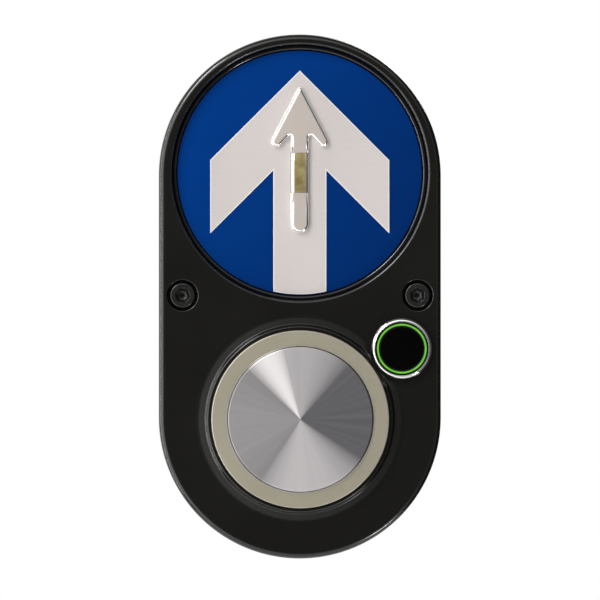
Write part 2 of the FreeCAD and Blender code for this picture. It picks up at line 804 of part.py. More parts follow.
def disc_hub():
    """Turning plate behind the disc, with the spigot that fits the housing's hole."""
    front = "sizes.disc_front - sizes.disc_thickness"
    seat = "sizes.recess_floor + sizes.bearing_thickness + sizes.clearance"
    hub = turned([
        ("0", "sizes.hub_back"),
        ("sizes.hub_radius", "sizes.hub_back"),
        ("sizes.hub_radius", seat),
        ("sizes.disc_radius - 1", seat),
        ("sizes.disc_radius - 1", front),
        ("0", front),
    ], "0", DISC_UP)
    pocket = "%s - sizes.hub_recess" % front
    slot = bar_slot(pocket, front + " + 1")
    bore = rod("sizes.guide_radius", "sizes.hub_back - 1", pocket + " + 0.5", "0", DISC_UP)
    tapped = [
        rod("sizes.hub_screw_radius + sizes.clearance / 2", "sizes.hub_back - 1",
            "sizes.hub_back + sizes.hub_screw_depth - sizes.clamp_thickness", across, height)
        for across, height in hub_screw_places()
    ]
    return finished(cut(hub, [slot, bore] + tapped), "disc_hub")


def hub_screw_places():
    """Four screws on a circle about the hub, on the diagonals."""
    reach = "sizes.hub_screw_circle * sqrt(0.5)"
    return [
        (sign + reach, "%s %s %s" % (DISC_UP, lift, reach))
        for sign in ("", "-") for lift in ("+", "-")
    ]


def hub_stack():
    """Spring washer, clamp plate, guide bush, rubber seal and screws of the hub."""
    floor_back = "sizes.recess_floor - sizes.recess_floor_thickness"
    wave = tube("sizes.clamp_radius - sizes.wave_washer_inset",
                "sizes.hub_hole_radius + sizes.wave_washer_play",
                floor_back + " - sizes.wave_washer_thickness", floor_back, "0", DISC_UP)
    finished(wave, "wave_washer")
    clamp_back = "sizes.hub_back - sizes.clamp_thickness"
    clamp = tube("sizes.clamp_radius", "sizes.guide_radius + sizes.clearance", clamp_back,
                 "sizes.hub_back", "0", DISC_UP)
    clearances = [
        rod("sizes.hub_screw_radius + sizes.clearance", clamp_back + " - 1", "sizes.hub_back + 1",
            across, height)
        for across, height in hub_screw_places()
    ]
    finished(cut(clamp, clearances), "hub_clamp")
    pocket = "sizes.disc_front - sizes.disc_thickness - sizes.hub_recess"
    bush = tube("sizes.guide_radius", "sizes.bar_stem_radius + sizes.guide_bore_play", clamp_back, pocket,
                "0", DISC_UP)
    finished(bush, "bar_guide")
    seal = block("sizes.bar_width", "sizes.diaphragm_thickness", "sizes.bar_length", "0", pocket, DISC_UP)
    hole = rod("sizes.bar_stem_radius + sizes.diaphragm_bore_play", pocket + " - 1", pocket + " + 2",
               "0", DISC_UP)
    finished(cut(seal, [hole]), "bar_seal")
    screws = []
    head_front = clamp_back + " - sizes.frame_flange_thickness"
    head_back = head_front + " - sizes.hub_screw_head_height"
    for across, height in hub_screw_places():
        head = rod("sizes.hub_screw_head_radius", head_back, head_front, across, height)
        shank = rod("sizes.hub_screw_radius", head_front,
                    "sizes.hub_back + sizes.hub_screw_depth"
                    " - sizes.clamp_thickness - sizes.hub_screw_tip_gap",
                    across, height)
        socket = prism("sizes.hub_screw_radius * 0.9", head_back + " - 1", head_back + " + 1", across, height)
        screws.append(cut(fuse([head, shank]), [socket]))
    finished(group(screws), "hub_screws")


# ---------------------------------------------------------------- vibrator

CLAMP_BACK = "sizes.hub_back - sizes.clamp_thickness"
FRAME_INNER = "sizes.frame_radius - sizes.frame_wall"


def vibrator_fixed_parts():
    """Frame, magnet and pole pieces that hang behind the hub."""
    flange_back = CLAMP_BACK + " - sizes.frame_flange_thickness"
    yoke_front = "sizes.frame_back + sizes.yoke_thickness"
    frame = turned([
        (FRAME_INNER, "sizes.frame_back"),
        ("sizes.frame_radius", "sizes.frame_back"),
        ("sizes.frame_radius", flange_back),
        ("sizes.frame_flange_radius", flange_back),
        ("sizes.frame_flange_radius", CLAMP_BACK),
        (FRAME_INNER, CLAMP_BACK),
    ], "0", DISC_UP)
    holes = [
        rod("sizes.hub_screw_radius + sizes.clearance", flange_back + " - 1", CLAMP_BACK + " + 1",
            across, height)
        for across, height in hub_screw_places()
    ]
    finished(cut(frame, holes), "vibrator_frame")
    yoke = turned([
        ("0", "sizes.frame_back"),
        (FRAME_INNER, "sizes.frame_back"),
        (FRAME_INNER, yoke_front),
        ("sizes.pole_radius", yoke_front),
        ("sizes.pole_radius", "sizes.pole_front"),
        ("0", "sizes.pole_front"),
    ], "0", DISC_UP)
    finished(yoke, "vibrator_yoke")
    magnet = tube(FRAME_INNER, "sizes.magnet_inner", yoke_front, "sizes.magnet_front", "0", DISC_UP)
    finished(magnet, "vibrator_magnet")
    ring = tube(FRAME_INNER, "sizes.pole_ring_inner", "sizes.magnet_front",
                "sizes.magnet_front + sizes.pole_ring_thickness", "0", DISC_UP)
    finished(ring, "vibrator_pole_ring")


def vibrating_parts():
    """Touch bar on its stem, with the coil that drives it and the spring disc."""
    top = "sizes.disc_front + sizes.legend_thickness + sizes.tactile_height"
    half = "sizes.bar_width / 2"
    shoulder = "-(%s - sizes.bar_bevel_depth)" % top
    bar = doc.addObject("PartDesign::Body", "bar")
    section = outline_sketch(bar, "section", "XY_Plane", [
        (half, "-sizes.bar_back"),
        (half, shoulder),
        (half + " - sizes.bar_bevel", "-(%s)" % top),
        ("-(%s - sizes.bar_bevel)" % half, "-(%s)" % top),
        ("-(%s)" % half, shoulder),
        ("-(%s)" % half, "-sizes.bar_back"),
    ])
    length = bar.newObject("PartDesign::Pad", "length")
    length.Profile = section
    bind(length, "Length", "sizes.bar_length")
    bind(bar, "Placement.Base.z", DISC_UP + " - sizes.bar_length / 2")
    stem = rod("sizes.bar_stem_radius", "sizes.former_front", "sizes.bar_back", "0", DISC_UP)
    finished(fuse([bar, stem]), "vibrating_bar")
    outer = "sizes.former_radius + sizes.former_wall"
    former = turned([
        ("0", "sizes.former_front - sizes.former_head"),
        ("sizes.former_radius", "sizes.former_front - sizes.former_head"),
        ("sizes.former_radius", "sizes.former_back"),
        (outer, "sizes.former_back"),
        (outer, "sizes.former_front"),
        ("0", "sizes.former_front"),
    ], "0", DISC_UP)
    finished(former, "coil_former")
    coil_back = "sizes.former_back + sizes.coil_set_back"
    coil = tube("sizes.coil_outer", outer, coil_back, coil_back + " + sizes.coil_length", "0", DISC_UP)
    finished(coil, "voice_coil")
    spring_back = "sizes.former_front - sizes.spring_disc_depth"
    spring = tube(FRAME_INNER, outer, spring_back, spring_back + " + sizes.spring_disc_thickness", "0",
                  DISC_UP)
    finished(spring, "spring_disc")


# ---------------------------------------------------------------- main button

BARREL = "sizes.button_hole_radius - sizes.sensor_hole_gap"
BARREL_BORE = "sizes.button_hole_radius - sizes.sensor_hole_gap - sizes.barrel_wall"
CAP_RADIUS = "sizes.ring_inner - sizes.cap_gap"
FLANGE_BACK = "sizes.ring_seat + sizes.button_seal_thickness"
BOSS_BACK = "sizes.barrel_back - sizes.guide_boss_length"


def button_fixed_parts():
    """Bezel ring, threaded barrel with its guide boss, seals and ring nut."""
    ring = turned([
        ("sizes.ring_inner", "sizes.ring_back"),
        ("sizes.ring_outer", "sizes.ring_back"),
        ("sizes.ring_outer", "sizes.ring_front - sizes.ring_bevel"),
        ("sizes.ring_outer - sizes.ring_bevel", "sizes.ring_front"),
        ("sizes.ring_inner + sizes.ring_bevel", "sizes.ring_front"),
        ("sizes.ring_inner", "sizes.ring_front - sizes.ring_bevel"),
    ], "0", BUTTON_UP)
    finished(ring, "button_ring")
    bore = "sizes.stem_radius + sizes.stem_gap"
    floor_front = "sizes.barrel_back + sizes.barrel_floor"
    wiper_back = "sizes.ring_back - sizes.wiper_height - sizes.wiper_depth"
    groove = "%s + sizes.wiper_width - sizes.clearance" % BARREL_BORE
    barrel = turned([
        (bore, BOSS_BACK),
        ("sizes.guide_boss_radius", BOSS_BACK),
        ("sizes.guide_boss_radius", "sizes.barrel_back"),
        (BARREL, "sizes.barrel_back"),
        (BARREL, FLANGE_BACK),
        ("sizes.ring_outer - 2 * sizes.clearance", FLANGE_BACK),
        ("sizes.ring_outer - 2 * sizes.clearance", "sizes.ring_back"),
        (groove, "sizes.ring_back"),
        (groove, wiper_back),
        (BARREL_BORE, wiper_back),
        (BARREL_BORE, floor_front),
        (bore, floor_front),
    ], "0", BUTTON_UP)
    finished(cut(barrel, bracket_screw_holes(floor_front)), "button_barrel")
    seal = tube("sizes.ring_outer - 4 * sizes.clearance", "sizes.button_hole_radius + 2 * sizes.clearance",
                "sizes.ring_seat", FLANGE_BACK, "0", BUTTON_UP)
    finished(seal, "button_seal")
    wiper = tube(groove, CAP_RADIUS + " + sizes.wiper_play", wiper_back,
                 wiper_back + " + sizes.wiper_height", "0", BUTTON_UP)
    finished(wiper, "cap_wiper")
    nut_outer = BARREL + " + sizes.nut_width"
    nut_back = FACE_BACK + " - sizes.nut_thickness"
    nut = tube(nut_outer, BARREL, nut_back, FACE_BACK, "0", BUTTON_UP)
    notches = []
    for across, height in ((nut_outer, "0"), ("-(%s)" % nut_outer, "0"), ("0", nut_outer),
                           ("0", "-(%s)" % nut_outer)):
        notches.append(block("sizes.nut_width", "sizes.nut_thickness / 2", "sizes.nut_width", across,
                             nut_back + " - 1", "%s + (%s)" % (BUTTON_UP, height)))
    finished(cut(nut, notches), "button_nut")


def bracket_screw_holes(front):
    """Two small holes for the switch bracket's screws."""
    return [
        rod("sizes.bracket_screw_radius + sizes.clearance / 2",
            "sizes.barrel_back - sizes.bracket_screw_pocket", front + " + 1",
            sign + "sizes.bracket_screw_reach", BUTTON_UP)
        for sign in ("", "-")
    ]


def button_moving_parts():
    """Turned steel cap, its stem and the clip that stops it from coming out."""
    cap_back = "sizes.cap_front - sizes.cap_thickness"
    cap = turned([
        ("0", cap_back),
        (CAP_RADIUS + " - sizes.cap_skirt_wall", cap_back),
        (CAP_RADIUS + " - sizes.cap_skirt_wall", "sizes.cap_skirt_back"),
        (CAP_RADIUS, "sizes.cap_skirt_back"),
        (CAP_RADIUS, "sizes.cap_front - sizes.cap_bevel"),
        (CAP_RADIUS + " - sizes.cap_bevel", "sizes.cap_front"),
        ("0", "sizes.cap_front"),
    ], "0", BUTTON_UP)
    finished(cap, "button_cap")
    groove_front = BOSS_BACK + " - sizes.clearance"
    groove_back = groove_front + " - sizes.clip_thickness"
    neck = "sizes.stem_radius - sizes.clip_groove"
    stem = turned([
        ("0", "sizes.stem_back - sizes.nose_length"),
        ("sizes.nose_radius", "sizes.stem_back - sizes.nose_length"),
        ("sizes.nose_radius", "sizes.stem_back"),
        ("sizes.stem_radius - 0.5", "sizes.stem_back"),
        ("sizes.stem_radius", "sizes.stem_back + 0.5"),
        ("sizes.stem_radius", groove_back),
        (neck, groove_back),
        (neck, groove_front),
        ("sizes.stem_radius", groove_front),
        ("sizes.stem_radius", cap_back),
        ("0", cap_back),
    ], "0", BUTTON_UP)
    finished(stem, "button_stem")
    clip = tube("sizes.clip_radius", neck, groove_back, groove_front, "0", BUTTON_UP)
    gap = block("2 * (%s) * 0.8" % neck, "sizes.clip_thickness + 2", "sizes.clip_radius", "0",
                groove_back + " - 1", BUTTON_UP + " - sizes.clip_radius / 2")
    finished(cut(clip, [gap]), "stem_clip")


def return_spring():
    """Coil spring from half turns, each tilted so that it climbs half a pitch and runs on
    smoothly into the next one."""
    floor_front = "(sizes.barrel_back + sizes.barrel_floor)"
    cap_back = "(sizes.cap_front - sizes.cap_thickness)"
    start = "%s + sizes.spring_wire + sizes.clearance" % floor_front
    free = "(%s - %s - 2 * sizes.spring_wire - 2 * sizes.clearance)" % (cap_back, floor_front)
    climb = "%s / (2 * sizes.spring_turns)" % free
    tilt = size("asin(%s / (2 * sizes.spring_radius))" % climb)
    halves = []
    for number in range(int(2 * size("sizes.spring_turns"))):
        half = o_ring("sizes.spring_radius", "sizes.spring_wire",
                      "%s + %s * %s" % (start, number + 0.5, climb), "0", BUTTON_UP)
        half.Angle3 = 180
        lean = FreeCAD.Rotation(FreeCAD.Vector(0, 1, 0), tilt if number % 2 == 0 else -tilt)
        side = FreeCAD.Rotation(FreeCAD.Vector(0, 0, 1), 180 * (number % 2))
        spot = half.Placement.Base
        half.Placement = FreeCAD.Placement(spot, FORWARD.multiply(lean).multiply(side))
        halves.append(half)
    return finished(fuse(halves), "return_spring")


# ---------------------------------------------------------------- switch

def switch_parts():
    """Lever microswitch in a bent bracket behind the button's stem."""
    top = "sizes.switch_front"
    case_solid = block("sizes.switch_length", "%s - sizes.switch_back" % top, "sizes.switch_width", "0",
                       "sizes.switch_back", BUTTON_UP)
    well = rod("sizes.plunger_radius + sizes.clearance",
               top + " - sizes.plunger_length - sizes.well_relief", top + " + 1",
               "-sizes.plunger_reach", BUTTON_UP)
    pins_back = top + " - sizes.pin_drop"
    pin_holes = [cross_rod("sizes.pin_radius + sizes.clearance", "sizes.switch_width + 2",
                           sign + "sizes.pin_reach", pins_back) for sign in ("", "-")]
    finished(cut(case_solid, [well] + pin_holes), "switch_body")
    terminals = [
        block("sizes.terminal_thickness", "sizes.terminal_length", "sizes.terminal_width", across,
              "sizes.switch_back - sizes.terminal_length / 2", BUTTON_UP)
        for across in ("-sizes.terminal_pitch", "0", "sizes.terminal_pitch")
    ]
    finished(group([cut_to_outside(terminal) for terminal in terminals]), "switch_terminals")
    pivot = "-sizes.lever_pivot_reach"
    rise = "(sizes.lever_pivot_reach - sizes.plunger_reach) * tan(sizes.lever_slope)"
    plunger = rod("sizes.plunger_radius", top + " - sizes.plunger_length",
                  "%s + sizes.lever_pivot_rise + %s - sizes.lever_gap" % (top, rise),
                  "-sizes.plunger_reach", BUTTON_UP)
    finished(plunger, "switch_plunger")
    length = "(sizes.lever_pivot_reach + sizes.lever_over)"
    lever = doc.addObject("Part::Box", "lever")
    bind(lever, "Length", length)
    bind(lever, "Width", "sizes.lever_thickness")
    bind(lever, "Height", "sizes.lever_width")
    lever.Placement = FreeCAD.Placement(
        FreeCAD.Vector(), FreeCAD.Rotation(FreeCAD.Vector(0, 0, 1), -size("sizes.lever_slope")))
    bind(lever, "Placement.Base.x", pivot)
    bind(lever, "Placement.Base.y", "-(%s + sizes.lever_pivot_rise + sizes.lever_thickness)" % top)
    bind(lever, "Placement.Base.z", BUTTON_UP + " - sizes.lever_width / 2")
    finished(lever, "switch_lever")
    thick = "sizes.bracket_thickness"
    leg_gap = "(sizes.switch_width / 2 + sizes.clearance)"
    plate = block("2 * (sizes.bracket_screw_reach + sizes.bracket_foot)", thick,
                  "2 * (%s + %s)" % (leg_gap, thick), "0", "sizes.barrel_back - " + thick, BUTTON_UP)
    leg_back = "(sizes.switch_back + sizes.bracket_leg_gap)"
    legs = [
        block("2 * sizes.bracket_half_length", "sizes.barrel_back - " + leg_back, thick, "0",
              leg_back, "%s %s (%s + %s / 2)" % (BUTTON_UP, sign, leg_gap, thick))
        for sign in ("+", "-")
    ]
    opening = rod("sizes.guide_boss_radius + sizes.clearance",
                  "sizes.switch_front + sizes.bracket_leg_gap", "sizes.barrel_back + 1", "0", BUTTON_UP)
    leg_holes = [cross_rod("sizes.pin_radius + sizes.clearance", "sizes.switch_width + 8",
                           sign + "sizes.pin_reach", pins_back) for sign in ("", "-")]
    holes = bracket_screw_holes("sizes.barrel_back")
    finished(cut(fuse([plate] + legs), [opening] + leg_holes + holes), "switch_bracket")
    pins = [cross_rod("sizes.pin_radius", "sizes.switch_width + 2 * sizes.pin_overhang",
                      sign + "sizes.pin_reach", pins_back) for sign in ("", "-")]
    finished(group(pins), "switch_pins")
    screws = []
    for sign in ("", "-"):
        across = sign + "sizes.bracket_screw_reach"
        under = "sizes.barrel_back - " + thick
        head = rod("sizes.bracket_screw_head_radius", under + " - sizes.bracket_screw_head_height", under,
                   across, BUTTON_UP)
        shank = rod("sizes.bracket_screw_radius", under, "sizes.barrel_back + sizes.barrel_floor", across,
                    BUTTON_UP)
        screws.append(fuse([head, shank]))
    finished(group(screws), "bracket_screws")


def cut_to_outside(terminal):
    """Keeps only what stands out behind the switch body."""
    return cut(terminal, [block("sizes.switch_length", "10", "sizes.switch_width", "0",
                                "sizes.switch_back", BUTTON_UP)])


def cross_rod(radius, length, across, forward):
    """Cylinder that runs up and down through the middle of the switch."""
    item = doc.addObject("Part::Cylinder", "cross_rod")
    bind(item, "Radius", radius)
    bind(item, "Height", length)
    return place(item, across, forward, "%s - (%s) / 2" % (BUTTON_UP, length))


# ---------------------------------------------------------------- touchless sensor

def sensor_parts():
    """Screw-in sensor: chrome bezel, light ring, black lens, barrel, nut and seal."""
    across = "sizes.sensor_across"
    height = "sizes.sensor_height"
    seat = CASE_FRONT + " + sizes.sensor_seal_thickness"
    front = seat + " + sizes.sensor_bezel_rise"
    bezel = turned([
        ("sizes.sensor_bezel_inner", seat),
        ("sizes.sensor_bezel_radius", seat),
        ("sizes.sensor_bezel_radius", seat + " + sizes.sensor_bezel_edge"),
        ("sizes.sensor_bezel_radius - sizes.sensor_bezel_slope", front + " - sizes.sensor_bezel_crown"),
        ("sizes.sensor_bezel_radius - 2 * sizes.sensor_bezel_slope", front),
        ("sizes.sensor_bezel_inner + sizes.sensor_bezel_lip", front),
        ("sizes.sensor_bezel_inner", front + " - sizes.sensor_bezel_crown"),
    ], across, height)
    finished(bezel, "sensor_bezel")
    light = tube("sizes.sensor_ring_outer", "sizes.sensor_ring_inner", seat,
                 seat + " + sizes.sensor_ring_rise",
                 across, height)
    finished(light, "sensor_light_ring")
    lens_front = seat + " + sizes.sensor_lens_rise"
    lens = rod("sizes.sensor_lens_radius", lens_front + " - sizes.sensor_lens_thickness", lens_front,
               across, height)
    finished(lens, "sensor_lens")
    seal = tube("sizes.sensor_bezel_radius - 5 * sizes.clearance",
                "sizes.sensor_barrel_radius + 3 * sizes.clearance", CASE_FRONT, seat, across, height)
    finished(seal, "sensor_seal")
    barrel = tube("sizes.sensor_barrel_radius", "sizes.sensor_barrel_radius - sizes.sensor_barrel_wall",
                  "sizes.sensor_barrel_back", seat, across, height)
    floor = rod("sizes.sensor_barrel_radius - sizes.sensor_barrel_wall / 2", "sizes.sensor_barrel_back",
                "sizes.sensor_barrel_back + sizes.sensor_floor_thickness", across, height)
    finished(fuse([barrel, floor]), "sensor_barrel")
    nut = tube("sizes.sensor_nut_radius", "sizes.sensor_barrel_radius",
               FACE_BACK + " - sizes.sensor_nut_thickness", FACE_BACK, across, height)
    finished(nut, "sensor_nut")
    card_front = "sizes.sensor_board_forward + sizes.sensor_board_thickness"
    card = rod("sizes.sensor_barrel_radius - sizes.sensor_barrel_wall - sizes.clearance",
               "sizes.sensor_board_forward", card_front, across, height)
    eye = rod("sizes.sensor_eye_radius", card_front, card_front + " + sizes.sensor_eye_length", across,
              height)
    finished(fuse([card, eye]), "sensor_card")


# ---------------------------------------------------------------- control board

def board_parts():
    """Control board on the tray's posts, with its parts, terminals and screws."""
    middle = "sizes.board_low + sizes.board_tall / 2"
    board = block("sizes.board_across", "sizes.board_thickness", "sizes.board_tall", "0",
                  "sizes.board_forward", middle)
    holes = []
    screws = []
    front = "sizes.board_forward + sizes.board_thickness"
    for across in board_sides():
        for height in board_levels():
            holes.append(rod("sizes.board_screw_radius + sizes.clearance", "sizes.board_forward - 1",
                             front + " + 1", across, height))
            head = rod("sizes.board_screw_head_radius", front, front + " + sizes.board_screw_head_height",
                       across, height)
            shank = rod("sizes.board_screw_radius", "sizes.back_floor + sizes.board_screw_tip_gap", front,
                        across, height)
            screws.append(fuse([head, shank]))
    finished(cut(board, holes), "control_board")
    finished(group(screws), "board_screws")
    chip = ("sizes.chip_length", "sizes.chip_height", "sizes.chip_width")
    relay_level = middle + " - sizes.processor_side"
    capacitor_top = front + " + sizes.capacitor_height"
    parts = [
        block("sizes.processor_side", "sizes.processor_height", "sizes.processor_side",
              "-sizes.processor_side * 0.85", front, middle + " + sizes.chip_width * 2 / 3"),
        block(*chip, "sizes.capacitor_across / 2", front, middle + " + 2 * sizes.chip_width"),
        block(*chip, "sizes.capacitor_across / 2", front, middle + " - sizes.chip_width / 3"),
        block("sizes.relay_length", "sizes.relay_height", "sizes.relay_width", "-sizes.relay_length", front,
              relay_level),
        rod("sizes.capacitor_radius", front, capacitor_top, "sizes.capacitor_across", relay_level),
        rod("sizes.capacitor_radius", front, capacitor_top, "sizes.capacitor_across",
            relay_level + " + sizes.capacitor_radius * 2.5"),
    ]
    finished(group(parts), "board_chips")
    strip_level = "sizes.board_low + sizes.strip_rise"
    strip = block("sizes.strip_length", "sizes.strip_depth", "sizes.strip_width", "0", front, strip_level)
    bores = [
        rod("sizes.strip_bore_radius", front + " + 2", front + " + sizes.strip_depth + 1",
            "%d * sizes.strip_pitch" % place_number, strip_level)
        for place_number in range(-3, 4)
    ]
    finished(cut(strip, bores), "terminal_block")


back_box()
housing_gasket()
front_housing()
cover_fasteners()
cable_grommet()
trim_ring()
bearing_washer()
disc_plate()
arrow_legend()
tactile_arrow()
disc_hub()
hub_stack()
vibrator_fixed_parts()
vibrating_parts()
button_fixed_parts()
button_moving_parts()
return_spring()
switch_parts()
sensor_parts()
board_parts()
doc.recompute()

for item in doc.Objects:
    if "Invalid" in item.State or "Error" in item.State:
        raise ValueError("%s failed: %s" % (item.Label, item.State))
for item in FINISHED:
    if item.Shape.isNull() or not item.Shape.isValid() or item.Shape.Volume <= 0:
        raise ValueError("%s has no sound shape" % item.Label)
for item in FINISHED:
    item.Shape.exportStep("parts/%s.step" % item.Label)
    print(item.Label, len(item.Shape.Solids), round(item.Shape.Volume, 1))
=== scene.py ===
import json
import math
import bpy
import bmesh
import numpy as np
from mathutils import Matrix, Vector
from mathutils.geometry import tessellate_polygon


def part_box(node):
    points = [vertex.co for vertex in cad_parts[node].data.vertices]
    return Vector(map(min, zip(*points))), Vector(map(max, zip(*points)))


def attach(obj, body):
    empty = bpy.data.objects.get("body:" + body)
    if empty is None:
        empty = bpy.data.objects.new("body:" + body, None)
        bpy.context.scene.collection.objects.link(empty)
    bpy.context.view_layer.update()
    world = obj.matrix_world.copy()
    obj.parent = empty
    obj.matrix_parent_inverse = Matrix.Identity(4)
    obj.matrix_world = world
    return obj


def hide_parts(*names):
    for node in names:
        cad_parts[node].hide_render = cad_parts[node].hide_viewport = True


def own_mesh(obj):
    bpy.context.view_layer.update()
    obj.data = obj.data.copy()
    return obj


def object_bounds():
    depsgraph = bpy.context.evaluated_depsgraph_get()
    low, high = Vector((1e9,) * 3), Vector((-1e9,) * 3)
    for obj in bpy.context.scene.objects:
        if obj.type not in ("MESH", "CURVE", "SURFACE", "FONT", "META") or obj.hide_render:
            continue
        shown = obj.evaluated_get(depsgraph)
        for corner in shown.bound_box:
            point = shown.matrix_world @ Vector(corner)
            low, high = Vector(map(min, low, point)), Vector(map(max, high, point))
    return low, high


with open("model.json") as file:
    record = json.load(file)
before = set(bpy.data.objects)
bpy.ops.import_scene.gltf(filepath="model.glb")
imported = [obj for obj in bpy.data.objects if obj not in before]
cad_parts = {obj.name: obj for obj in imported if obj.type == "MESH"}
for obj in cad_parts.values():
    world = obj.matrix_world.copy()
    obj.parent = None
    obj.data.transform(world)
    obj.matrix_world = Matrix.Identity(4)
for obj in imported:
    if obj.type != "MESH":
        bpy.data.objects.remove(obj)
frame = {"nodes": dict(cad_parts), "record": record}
cad_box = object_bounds()


# Front cover: a deep aluminium casting, machined at the edges and stoved in gloss black.
# It holds the sign's recess, the raised collar round the button and the two screw pockets,
# and closes on the tray behind it with a rubber seal.

MM = 0.001
cover_low, cover_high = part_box("front_housing")
disc_low, disc_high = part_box("disc_plate")
ring_low, ring_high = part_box("button_ring")
screws_low, screws_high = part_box("cover_screws")
bezel_low, bezel_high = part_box("sensor_bezel")

case_radius = cover_high[0]
end_height = cover_high[2] - case_radius
seam_front = -cover_high[1]
face_front = 52 * MM
edge_round = 2.8 * MM
recess_radius = 59 * MM
recess_floor = 44.5 * MM
lip_round = 1.3 * MM
collar_rise = 2.6 * MM
collar_crest = 42.5 * MM
collar_shoulder = 43.7 * MM
collar_foot = 47.2 * MM
head_radius = (screws_high[2] - screws_low[2]) / 2
screw_reach = screws_high[0] - head_radius
screw_level = (screws_high[2] + screws_low[2]) / 2
pocket_radius = 7.1 * MM

disc_centre = (0.0, (disc_low[2] + disc_high[2]) / 2)
button_centre = (0.0, (ring_low[2] + ring_high[2]) / 2)
sensor_centre = ((bezel_low[0] + bezel_high[0]) / 2, (bezel_low[2] + bezel_high[2]) / 2)


def rounded(corners, radii, steps=8, closed=False, strip=0.12 * MM):
    """Path through corners with a tangent arc of its own radius at each one, and a short
    straight strip on both sides of each arc, so that flat stretches stay flat."""
    corners = np.asarray(corners, float)
    count = len(corners)
    path = []
    for index, (corner, radius) in enumerate(zip(corners, radii)):
        if not closed and index in (0, count - 1) or radius == 0:
            path.append(corner[None])
            continue
        before = corners[index - 1] - corner
        after = corners[(index + 1) % count] - corner
        before_length, after_length = np.linalg.norm(before), np.linalg.norm(after)
        before, after = before / before_length, after / after_length
        half = 0.5 * np.arccos(np.clip(before @ after, -1, 1))
        reach = radius / np.tan(half)
        middle = corner + (before + after) / np.linalg.norm(before + after) * radius / np.sin(half)
        first, last = corner + before * reach - middle, corner + after * reach - middle
        turn = np.pi - 2 * half
        share = np.linspace(0, 1, steps + 1)[:, None]
        arc = (np.sin((1 - share) * turn) * first + np.sin(share * turn) * last) / np.sin(turn)
        lead = corner + before * min(reach + strip, before_length * 0.499 + reach * 0.5)
        trail = corner + after * min(reach + strip, after_length * 0.499 + reach * 0.5)
        path += [lead[None], middle + arc, trail[None]]
    return np.concatenate(path)


def quads(rows, columns, wrap_rows=False, wrap_columns=True):
    """Corner numbers of the faces of a grid of points, row by row."""
    row = np.arange(rows if wrap_rows else rows - 1)[:, None]
    column = np.arange(columns if wrap_columns else columns - 1)[None, :]
    next_row, next_column = (row + 1) % rows, (column + 1) % columns
    corners = [row * columns + column, row * columns + next_column,
               next_row * columns + next_column, next_row * columns + column]
    return np.stack(corners, axis=-1).reshape(-1, 4).tolist()


def turned_points(profile, centre, steps=192):
    """Profile of (radius, forward) points carried round a forward axis through centre."""
    angle = np.linspace(0, 2 * np.pi, steps, endpoint=False)
    radius, forward = np.asarray(profile)[:, 0, None], np.asarray(profile)[:, 1, None]
    across = centre[0] + radius * np.cos(angle)
    height = centre[1] + radius * np.sin(angle)
    return np.stack([across, -forward + 0 * angle, height], axis=-1)


def stadium_points(profile, radius, spacing, steps=96, straight=24):
    """Profile of (offset, forward) points carried along a stadium: each end is a half circle of
    radius plus offset about a centre at plus or minus spacing, joined by straight sides."""
    arc = np.linspace(0, np.pi, steps + 1)
    run = np.linspace(0, 1, straight + 1)[1:-1]
    across = np.concatenate([np.cos(arc), -np.ones(len(run)), -np.cos(arc), np.ones(len(run))])
    upward = np.concatenate([np.sin(arc), 0 * run, -np.sin(arc), 0 * run])
    level = np.concatenate([np.ones(len(arc)), 1 - 2 * run, -np.ones(len(arc)), 2 * run - 1])
    offset, forward = np.asarray(profile)[:, 0, None], np.asarray(profile)[:, 1, None]
    reach = radius + offset
    return np.stack([reach * across, -forward + 0 * across, reach * upward + spacing * level], axis=-1)


def flat_between(loops):
    """Triangles that fill a flat outline (the first loop) around its holes (the others)."""
    points = np.concatenate(loops)
    faces = tessellate_polygon([[Vector(point) for point in loop] for loop in loops])
    return points, [list(face) for face in faces]


def piece(name, patches, material, body, node_names=(), outward=None, weld=1e-6):
    """Joins patches of (points, faces) into one mesh object, welds their shared edges, turns its
    faces outward, gives it its material and hangs it on its body in place of its CAD nodes.
    Faces that look straight forward or back are shaded flat and all others smooth."""
    points, faces, start = [], [], 0
    for patch_points, patch_faces in patches:
        flat = np.asarray(patch_points).reshape(-1, 3)
        points.append(flat)
        faces += [[corner + start for corner in face] for face in patch_faces]
        start += len(flat)
    mesh = bpy.data.meshes.new(name)
    mesh.from_pydata(np.concatenate(points).tolist(), [], faces)
    work = bmesh.new()
    work.from_mesh(mesh)
    bmesh.ops.remove_doubles(work, verts=work.verts, dist=weld)
    bmesh.ops.dissolve_degenerate(work, edges=work.edges, dist=weld / 10)
    bmesh.ops.recalc_face_normals(work, faces=work.faces)
    if outward is not None:
        near = min(work.faces, key=lambda face: (face.calc_center_median() - Vector(outward[0])).length)
        if near.normal.dot(Vector(outward[1])) < 0:
            bmesh.ops.reverse_faces(work, faces=work.faces)
    work.to_mesh(mesh)
    work.free()
    normals = np.empty(len(mesh.polygons) * 3)
    mesh.polygons.foreach_get("normal", normals)
    curved = np.abs(normals.reshape(-1, 3)[:, 1]) < 0.9999995
    mesh.polygons.foreach_set("use_smooth", curved)
    mesh.materials.append(material)
    made = bpy.data.objects.new(name, mesh)
    bpy.context.collection.objects.link(made)
    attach(made, body)
    if node_names:
        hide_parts(*node_names)
    return made


